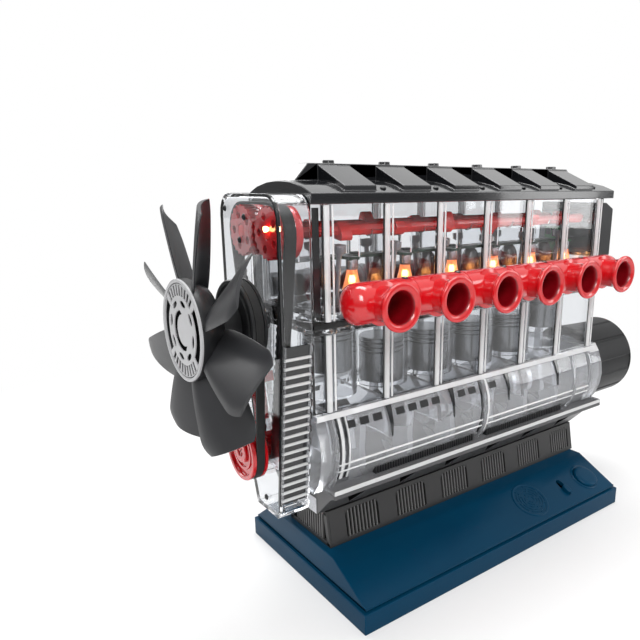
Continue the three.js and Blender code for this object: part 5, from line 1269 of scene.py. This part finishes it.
def make_intake():
    x0, x1 = LOG_LOW[0], LOG_HIGH[0]
    front = [(0, x0), (3.2, x0 + 0.25), (6.2, x0 + 1.5), (8.4, x0 + 3.4), (9.4, x0 + 5.6), (LOG_RADIUS, x0 + 8)]
    rear = [(LOG_RADIUS, x1 - 5), (9.0, x1 - 2.4), (7.2, x1 - 0.6), (5, x1), (0, x1)]
    log = turned(front + joints(LOG_RADIUS, 9.1, 2.6, 2.2) + rear, "x", (LOG_Y, LOG_Z), 64)
    throats = bmesh.new()
    for x in PISTON_X:
        turned(rod(7.4, -53, LOG_Y - 2, 0), "y", (x, LOG_Z), 48, mesh=throats)
    log = cut(log, throats)
    horns = bmesh.new()
    for x in PISTON_X:
        turned(trumpet_profile(), "y", (x, LOG_Z), 64, ring=True, mesh=horns)
        turned([(0, LOG_Y), (9.2, LOG_Y), (9.2, -44), (10.1, -44.6), (10.1, -46.2), (8.0, -47), (8.0, -50),
                (6.62, -50), (6.62, -43), (0, -43)], "y", (x, LOG_Z), 48, mesh=horns)
        turned(rod(6.2, LOG_Y, -27, 0.3), "y", (x, LOG_Z), 40, mesh=horns)
        turned(rod(7.2, -28.9, -26.9, 0.3), "y", (x, LOG_Z), 40, mesh=horns)
    # Faces deep in the throat that face the axis take the darker red: painted shade.
    for face in horns.faces:
        middle = face.calc_center_median() / MM
        x = min(PISTON_X, key=lambda place: abs(place - middle.x))
        inward = Vector((x - middle.x, 0, LOG_Z - middle.z))
        face.material_index = 1 if middle.y > MOUTH_Y + 1.2 and face.normal.dot(inward) > 0.3 else 0
    bolts = row_of(screw("z", 1, 1.7, 1.0), 5, (PISTON_X[0] + PITCH / 2, LOG_Y, LOG_Z + 9.0), (PITCH, 0, 0),
                   gloss_black)
    parts = [(log, kit_red), (horns, [kit_red, throat_painted_shade_red]), (bolts, gloss_black)]
    return assemble("intake_trumpets", "housing", parts, ("intake_manifold",), 42)


make_intake()

# %% [markdown]
# ## Pistons and rods
# The pistons are silver, with three dark rings in grooves round the crown. Each is one turned profile, hollow below,
# and rides in its pair's body. The rods and the crankshaft keep the frame's shape with softer edges.

# %% Pistons
RING_TOP = 1.9
RING_PITCH = 2.5
GROOVE_DEPTH = 0.55
PISTON_WALL = 1.2
PISTON_CROWN = 2.4


def ring_tops(crown):
    return [crown - RING_TOP - RING_PITCH * n for n in range(3)]


def piston_profile(low, high, radius):
    rows = [(0, high), (radius - 0.5, high), (radius, high - 0.5)]
    for top in ring_tops(high):
        rows += [(radius, top), (radius - GROOVE_DEPTH, top), (radius - GROOVE_DEPTH, top - 1.1), (radius, top - 1.1)]
    rows += [(radius, low + 0.3), (radius - 0.3, low), (radius - PISTON_WALL, low),
             (radius - PISTON_WALL, high - PISTON_CROWN), (0, high - PISTON_CROWN)]
    return rows


def make_piston(name):
    low, high = box_of(name)
    centre = middle_of(name)[:2]
    radius = (high[1] - low[1]) / 2
    skirt = turned(piston_profile(low[2], high[2], radius), "z", centre, 48)
    rings = bmesh.new()
    for top in ring_tops(high[2]):
        band = [(radius - 0.6, top - 0.15), (radius - 0.12, top - 0.15), (radius - 0.12, top - 0.95),
                (radius - 0.6, top - 0.95)]
        turned(band, "z", centre, 48, ring=True, mesh=rings)
    parts = [(skirt, piston_silver), (rings, ring_dark)]
    return assemble(f"{name}_turned", home_of(name), parts, (name,))


for k in range(1, 7):
    make_piston(f"piston_{k}")
    refined(f"connecting_rod_{k}", silver, 0.2, smooth=46)
refined("crankshaft", silver, 0.25, smooth=46)

# %% [markdown]
# ## Valve train
# The cam wheels and camshafts are red, and a short red drum stands behind each wheel. The camshafts' red is painted
# lighter, for the light that falls on them through the clear head. The drum is turned. The belts are dull black
# rubber, and the valves are pale grey plastic.

# %% Valve train
def make_wheel_drum(name):
    back = box_of(name)[1][0]
    middle = middle_of(name)
    profile = [(0, back - 0.3), (11.6, back - 0.3), (11.6, back + 0.3), (12.2, back + 0.5), (12.2, back + 3.6),
               (11.8, back + 4.0), (7.5, back + 4.0), (7.1, back + 3.4), (0, back + 3.4)]
    return turned(profile, "x", (middle[1], middle[2]), 72)


for side in ("intake", "exhaust"):
    refined(f"{side}_camshaft", cam_red_painted_light, 0.25, smooth=50)
    refined(f"{side}_cam_sprocket", kit_red, 0.15,
            extra=[(make_wheel_drum(f"{side}_cam_sprocket"), kit_red)])
    for k in range(1, 7):
        refined(f"{side}_valve_{k}", pale_grey, 0.12, smooth=62, from_angle=64)

refined("crank_sprocket", kit_red, 0.15)
refined("timing_belt", belt_rubber, 0.1)
refined("fan_belt", belt_rubber, 0.15)
refined("flywheel", silver, 0.15)

# %% [markdown]
# ## Pulleys
# The crank pulley is red, with rings turned in its face and a cross in its middle. The fan's pulley is black and
# sits in line with it. Both are turned, and share the profile of the belt's groove.

# %% Crank pulley
PULLEY_LOW, PULLEY_HIGH = box_of("crank_pulley")
CRANK_Z = middle_of("crank_pulley")[2]
PULLEY_RADIUS = (PULLEY_HIGH[1] - PULLEY_LOW[1]) / 2
BELT_HALF = 2.3
BELT_DEPTH = 1.6


def grooved_rim(radius, front, back):
    centre = (front + back) / 2
    low, high = centre - BELT_HALF, centre + BELT_HALF
    floor = radius - BELT_DEPTH
    return [(radius - 0.4, front), (radius, front + 0.4), (radius, low), (floor, low), (floor, high), (radius, high),
            (radius, back - 0.4), (radius - 0.4, back)]


def make_crank_pulley():
    front, back = PULLEY_LOW[0], PULLEY_HIGH[0]
    r = PULLEY_RADIUS
    face = [(0, front + 1.3), (2.6, front + 1.3), (2.6, front + 0.4), (3.0, front), (5.6, front), (6, front + 0.4),
            (6, front + 1.6), (8, front + 1.6), (8.2, front + 0.9), (9.4, front + 0.9), (9.6, front + 1.6),
            (r - 2.6, front + 1.6), (r - 2.4, front + 0.4), (r - 2.0, front)]
    bore = [(3.4, back), (3.4, front + 3.7), (0, front + 3.7)]
    wheel = turned(face + grooved_rim(r, front, back) + bore, "x", (0, CRANK_Z), 72)
    cross = bmesh.new()
    block((front + 0.5, -2.4, CRANK_Z - 0.5), (front + 1.4, 2.4, CRANK_Z + 0.5), cross)
    block((front + 0.5, -0.5, CRANK_Z - 2.4), (front + 1.4, 0.5, CRANK_Z + 2.4), cross)
    return assemble("crank_pulley_turned", "crank", [(wheel, kit_red), (cross, kit_red)], ("crank_pulley",))


make_crank_pulley()

# %% Fan pulley
FAN_Z = middle_of("fan_pulley")[2]


def make_fan_pulley():
    low, high = box_of("fan_pulley")
    front, back = low[0], PULLEY_HIGH[0]
    face = [(0, front), (16.5, front), (17, front + 0.8), (18, front + 0.8), (18.4, front)]
    shaft = [(3, back), (3, high[0]), (0, high[0])]
    wheel = turned(face + grooved_rim((high[1] - low[1]) / 2, front, back) + shaft, "x", (0, FAN_Z), 72)
    return assemble("fan_pulley_turned", "fan_drive", [(wheel, satin_black)], ("fan_pulley",))


make_fan_pulley()

# %% [markdown]
# ## Fan
# The fan has eight broad twisted blades. One blade is a grid whose chord, pitch and cup follow formulas, and the
# round tree copies it about the hub. The hub has a recess with a pale rim, and its floor is matt black: painted
# shade in the recess. A thin pale plate lies over the recess, with slots, sockets and a crescent cut through it.

# %% Fan blade, hub and slotted face
FAN_LOW, FAN_HIGH = box_of("fan")
TIP_RADIUS = 56.0
BLADE_ROOT = 15.0
BLADE_COUNT = 8
BLADE_PHASE = 0.35
BLADE_PLANE = 8.5
BLADE_HALF = 0.85
ROOT_CHORD, CHORD_GAIN = 13, 18
MEAN_PITCH, TWIST = 36, 12
CUP = 2.5
TIP_FROM, TIP_TRIM = 0.8, 0.24
HUB_RADIUS = 22.6
DISC_DEPTH = 2.4
RIM_SLOTS = 36
SIDE_SLOT = 0.74
SOCKETS = 8


def blade_sheet(mesh, face, rows, across):
    sheet = []
    for i in range(rows + 1):
        share = i / rows
        radius = BLADE_ROOT + (TIP_RADIUS - BLADE_ROOT) * share
        trim = TIP_TRIM * max(0.0, (share - TIP_FROM) / 0.2) ** 2.2
        chord = (ROOT_CHORD + CHORD_GAIN * math.sqrt(share)) * (1 - trim)
        pitch = math.radians(MEAN_PITCH - TWIST * (share - 0.5))
        line = []
        for n in range(across + 1):
            s = 2 * n / across - 1
            along = s * chord / 2
            half = BLADE_HALF * (1 - 0.75 * s ** 4)
            y = along * math.cos(pitch)
            x = FAN_LOW[0] + BLADE_PLANE + along * math.sin(pitch) - CUP * (1 - s * s) + face * half
            z = math.sqrt(max(radius * radius - y * y, 0))
            line.append(mesh.verts.new(Vector((x, y, z)) * MM))
        sheet.append(line)
    return sheet


def border(sheet):
    sides = [line[0] for line in sheet], [line[-1] for line in sheet[-2::-1]]
    return sides[0] + sheet[-1][1:] + sides[1] + sheet[0][-2:0:-1]


def make_blade(rows=22, across=12):
    mesh = bmesh.new()
    sheets = [blade_sheet(mesh, face, rows, across) for face in (-1, 1)]
    for sheet in sheets:
        for a, b in zip(sheet, sheet[1:]):
            for n in range(across):
                mesh.faces.new((a[n], a[n + 1], b[n + 1], b[n]))
    front, back = (border(sheet) for sheet in sheets)
    for i in range(len(front)):
        j = (i + 1) % len(front)
        mesh.faces.new((front[i], front[j], back[j], back[i]))
    bmesh.ops.recalc_face_normals(mesh, faces=mesh.faces)
    return mesh


def slot_outline(radius, turn, along, across, corners):
    outline = []
    for i in range(corners):
        t = math.tau * (i + 0.5) / corners
        a, b = along * math.cos(t), across * math.sin(t)
        if corners == 4:
            a, b = math.copysign(along, a), math.copysign(across, b)
        outline.append(((radius + a) * math.cos(turn) - b * math.sin(turn),
                        (radius + a) * math.sin(turn) + b * math.cos(turn)))
    return outline


def disc_openings():
    turns = [math.tau * i / RIM_SLOTS for i in range(RIM_SLOTS)]
    shapes = [slot_outline(17.7, turn, 2.4, 1.05, 4) for turn in turns if abs(math.cos(turn)) < SIDE_SLOT]
    for side in (0, 180):
        turns = arc_turns(side - 38, side + 38, 24)
        shapes.append(arc_points(20.0, turns) + arc_points(15.3, turns[::-1]))
    shapes += [slot_outline(12.3, math.tau * (i + 0.3) / SOCKETS, 1.35, 3.0, 14) for i in range(SOCKETS)]
    outer, inner = arc_turns(-115, 85, 28), arc_turns(85, -115, 28)
    shapes.append(arc_points(9.0, outer) + arc_points(7.0, inner, (-2.0, 0.5)))
    tools = bmesh.new()
    for shape in shapes:
        prism([(y, z + FAN_Z) for y, z in shape], "x", FAN_LOW[0] - 1, FAN_LOW[0] + DISC_DEPTH, tools)
    return tools


def fan_turned(profile, ring=False):
    return turned(profile, "x", (0, FAN_Z), 96, ring=ring)


def make_fan():
    front, back = FAN_LOW[0], FAN_HIGH[0]
    r = HUB_RADIUS
    blade = make_blade()
    blade.transform(Matrix.Rotation(math.tau * BLADE_PHASE / BLADE_COUNT, 4, "X"))
    blades = round_of(blade, BLADE_COUNT, (0, 0, FAN_Z), (math.tau / BLADE_COUNT, 0, 0), fan_black)
    floor = fan_turned(rod(r - 2.3, front + 4.2, front + 4.8, 0.1))
    hub = fan_turned([(0, front + 4.6), (r - 2.4, front + 4.6), (r - 2.2, front + 0.9), (r - 0.3, front + 0.6),
                      (r, front + 1.1), (r, front + 4.4), (18.5, front + 11.5), (11, front + 15.5), (11, back),
                      (0, back)])
    rim = fan_turned([(r - 1.7, front + 1.1), (r - 1.6, front + 0.3), (r - 1.2, front), (r - 0.5, front),
                      (r - 0.1, front + 0.3), (r - 0.05, front + 1.1)], ring=True)
    plate = cut(fan_turned(rod(r - 2.1, front + 0.4, front + 0.85, 0.1)), disc_openings())
    parts = [(blades, fan_black), (hub, satin_black), (floor, painted_shade_black), (rim, disc_grey), (plate, disc_grey)]
    return assemble("fan_blades_and_hub", "fan_drive", parts, ("fan",), 42)


make_fan()

# %% [markdown]
# ## Floor
# The object stands on a plain white sweep. Near the object the floor takes a soft shadow. Further out it turns
# into the same white as the background, so no horizon shows.

# %% Floor
SWEEP_RADIUS = 4
SWEEP_STEPS = 96
PAPER = (0.84, 0.84, 0.84, 1)
FADE_FROM, FADE_TO = 0.14, 0.5
FADE_START = 0.35


def seen_directly(tree, path):
    return maths(tree, "ADD", path.outputs["Is Camera Ray"], path.outputs["Is Transmission Ray"], clamp=True)


def sweep_material():
    material = bpy.data.materials.new("white sweep")
    material.use_nodes = True
    tree = material.node_tree
    link = tree.links.new
    tree.nodes.clear()
    end = tree.nodes.new("ShaderNodeOutputMaterial")
    paper = node(tree, "ShaderNodeBsdfDiffuse", Color=PAPER)
    white = node(tree, "ShaderNodeEmission", Color=(1, 1, 1, 1), Strength=1.0)
    place = tree.nodes.new("ShaderNodeTexCoord").outputs["Object"]
    reach = node(tree, "ShaderNodeVectorMath", operation="LENGTH")
    link(place, reach.inputs[0])
    fade = rising(tree, reach.outputs["Value"], FADE_FROM, FADE_TO, FADE_START)
    seen = seen_directly(tree, tree.nodes.new("ShaderNodeLightPath"))
    share = maths(tree, "MULTIPLY", fade, seen)
    mixed = tree.nodes.new("ShaderNodeMixShader")
    for source, slot in ((share, 0), (paper.outputs[0], 1), (white.outputs[0], 2)):
        link(source, mixed.inputs[slot])
    link(mixed.outputs[0], end.inputs["Surface"])
    return material


def add_floor():
    mesh = bpy.data.meshes.new("floor")
    turns = [math.tau * k / SWEEP_STEPS for k in range(SWEEP_STEPS)]
    rim = [(SWEEP_RADIUS * math.cos(turn), SWEEP_RADIUS * math.sin(turn), 0) for turn in turns]
    mesh.from_pydata(rim, [], [list(range(SWEEP_STEPS))])
    floor = placed("floor", mesh)
    mesh.materials.append(sweep_material())
    return floor


floor = add_floor()
print("floor", len(floor.data.vertices), "corners")

# %% [markdown]
# ## Light
# Four large soft boxes light the object, as in a product studio. The camera sees a white surround, but what glossy
# plastic mirrors gets darker towards the horizon, because black plastic reads black only where it mirrors something
# dark. Six small warm lights stand beside the lamps, because a bulb alone is too small to light the plastic near it.

# %% Soft boxes and the white surround
AMBIENT = 0.45
LOW_GLOSS = 0.25
HIGH_GLOSS = 1.15
GLOSS_RISE = 0.5
LAMP_WATTS = 0.012
LAMP_COLOUR = (1.0, 0.42, 0.16)
LAMP_RADIUS = 0.0016
LAMP_FORWARD, LAMP_HEIGHT = 3.2, 163.5
TARGET = (0.0, 0.0, 0.11)
SOFTBOXES = (("key_box", (-0.55, -0.75, 0.85), (0.5, 0.5), 9), ("side_box", (0.8, -0.6, 0.45), (0.2, 0.7), 2),
             ("top_box", (0.1, 0.15, 1.0), (0.7, 0.35), 7), ("back_box", (-0.3, 0.9, 0.6), (0.8, 0.4), 5))


def add_softbox(name, place, size, watts):
    data = bpy.data.lights.new(name, "AREA")
    data.shape = "RECTANGLE"
    data.size, data.size_y = size
    data.energy = watts
    aim(placed(name, data), place, Vector(TARGET) - Vector(place))


def add_surround():
    world = bpy.data.worlds.new("white surround")
    bpy.context.scene.world = world
    world.use_nodes = True
    tree = world.node_tree
    back = tree.nodes["Background"]
    path = tree.nodes.new("ShaderNodeLightPath")
    seen = seen_directly(tree, path)
    strength = maths(tree, "MULTIPLY_ADD", seen, 1 - AMBIENT, AMBIENT)
    parts = tree.nodes.new("ShaderNodeSeparateXYZ")
    tree.links.new(tree.nodes.new("ShaderNodeTexCoord").outputs["Generated"], parts.inputs[0])
    rise = rising(tree, parts.outputs["Z"], 0.0, GLOSS_RISE, LOW_GLOSS, HIGH_GLOSS)
    extra = maths(tree, "SUBTRACT", rise, AMBIENT)
    strength = maths(tree, "MULTIPLY_ADD", path.outputs["Is Glossy Ray"], extra, strength)
    tree.links.new(strength, back.inputs["Strength"])
    back.inputs["Color"].default_value = (1, 1, 1, 1)


def add_lamp_light(place):
    data = bpy.data.lights.new("lamp_light", "POINT")
    data.energy = LAMP_WATTS
    data.color = LAMP_COLOUR
    data.shadow_soft_size = LAMP_RADIUS
    lamp = placed("lamp_light", data)
    lamp.location = [v * MM for v in place]
    lamp.visible_camera = lamp.visible_glossy = lamp.visible_transmission = False


bpy.context.scene.view_settings.view_transform = "Standard"
add_surround()
for softbox in SOFTBOXES:
    add_softbox(*softbox)
for x in PISTON_X:
    add_lamp_light((x + LAMP_SHIFT[0], LAMP_SHIFT[1] - LAMP_FORWARD, LAMP_HEIGHT))
print("lights", len(bpy.data.lights))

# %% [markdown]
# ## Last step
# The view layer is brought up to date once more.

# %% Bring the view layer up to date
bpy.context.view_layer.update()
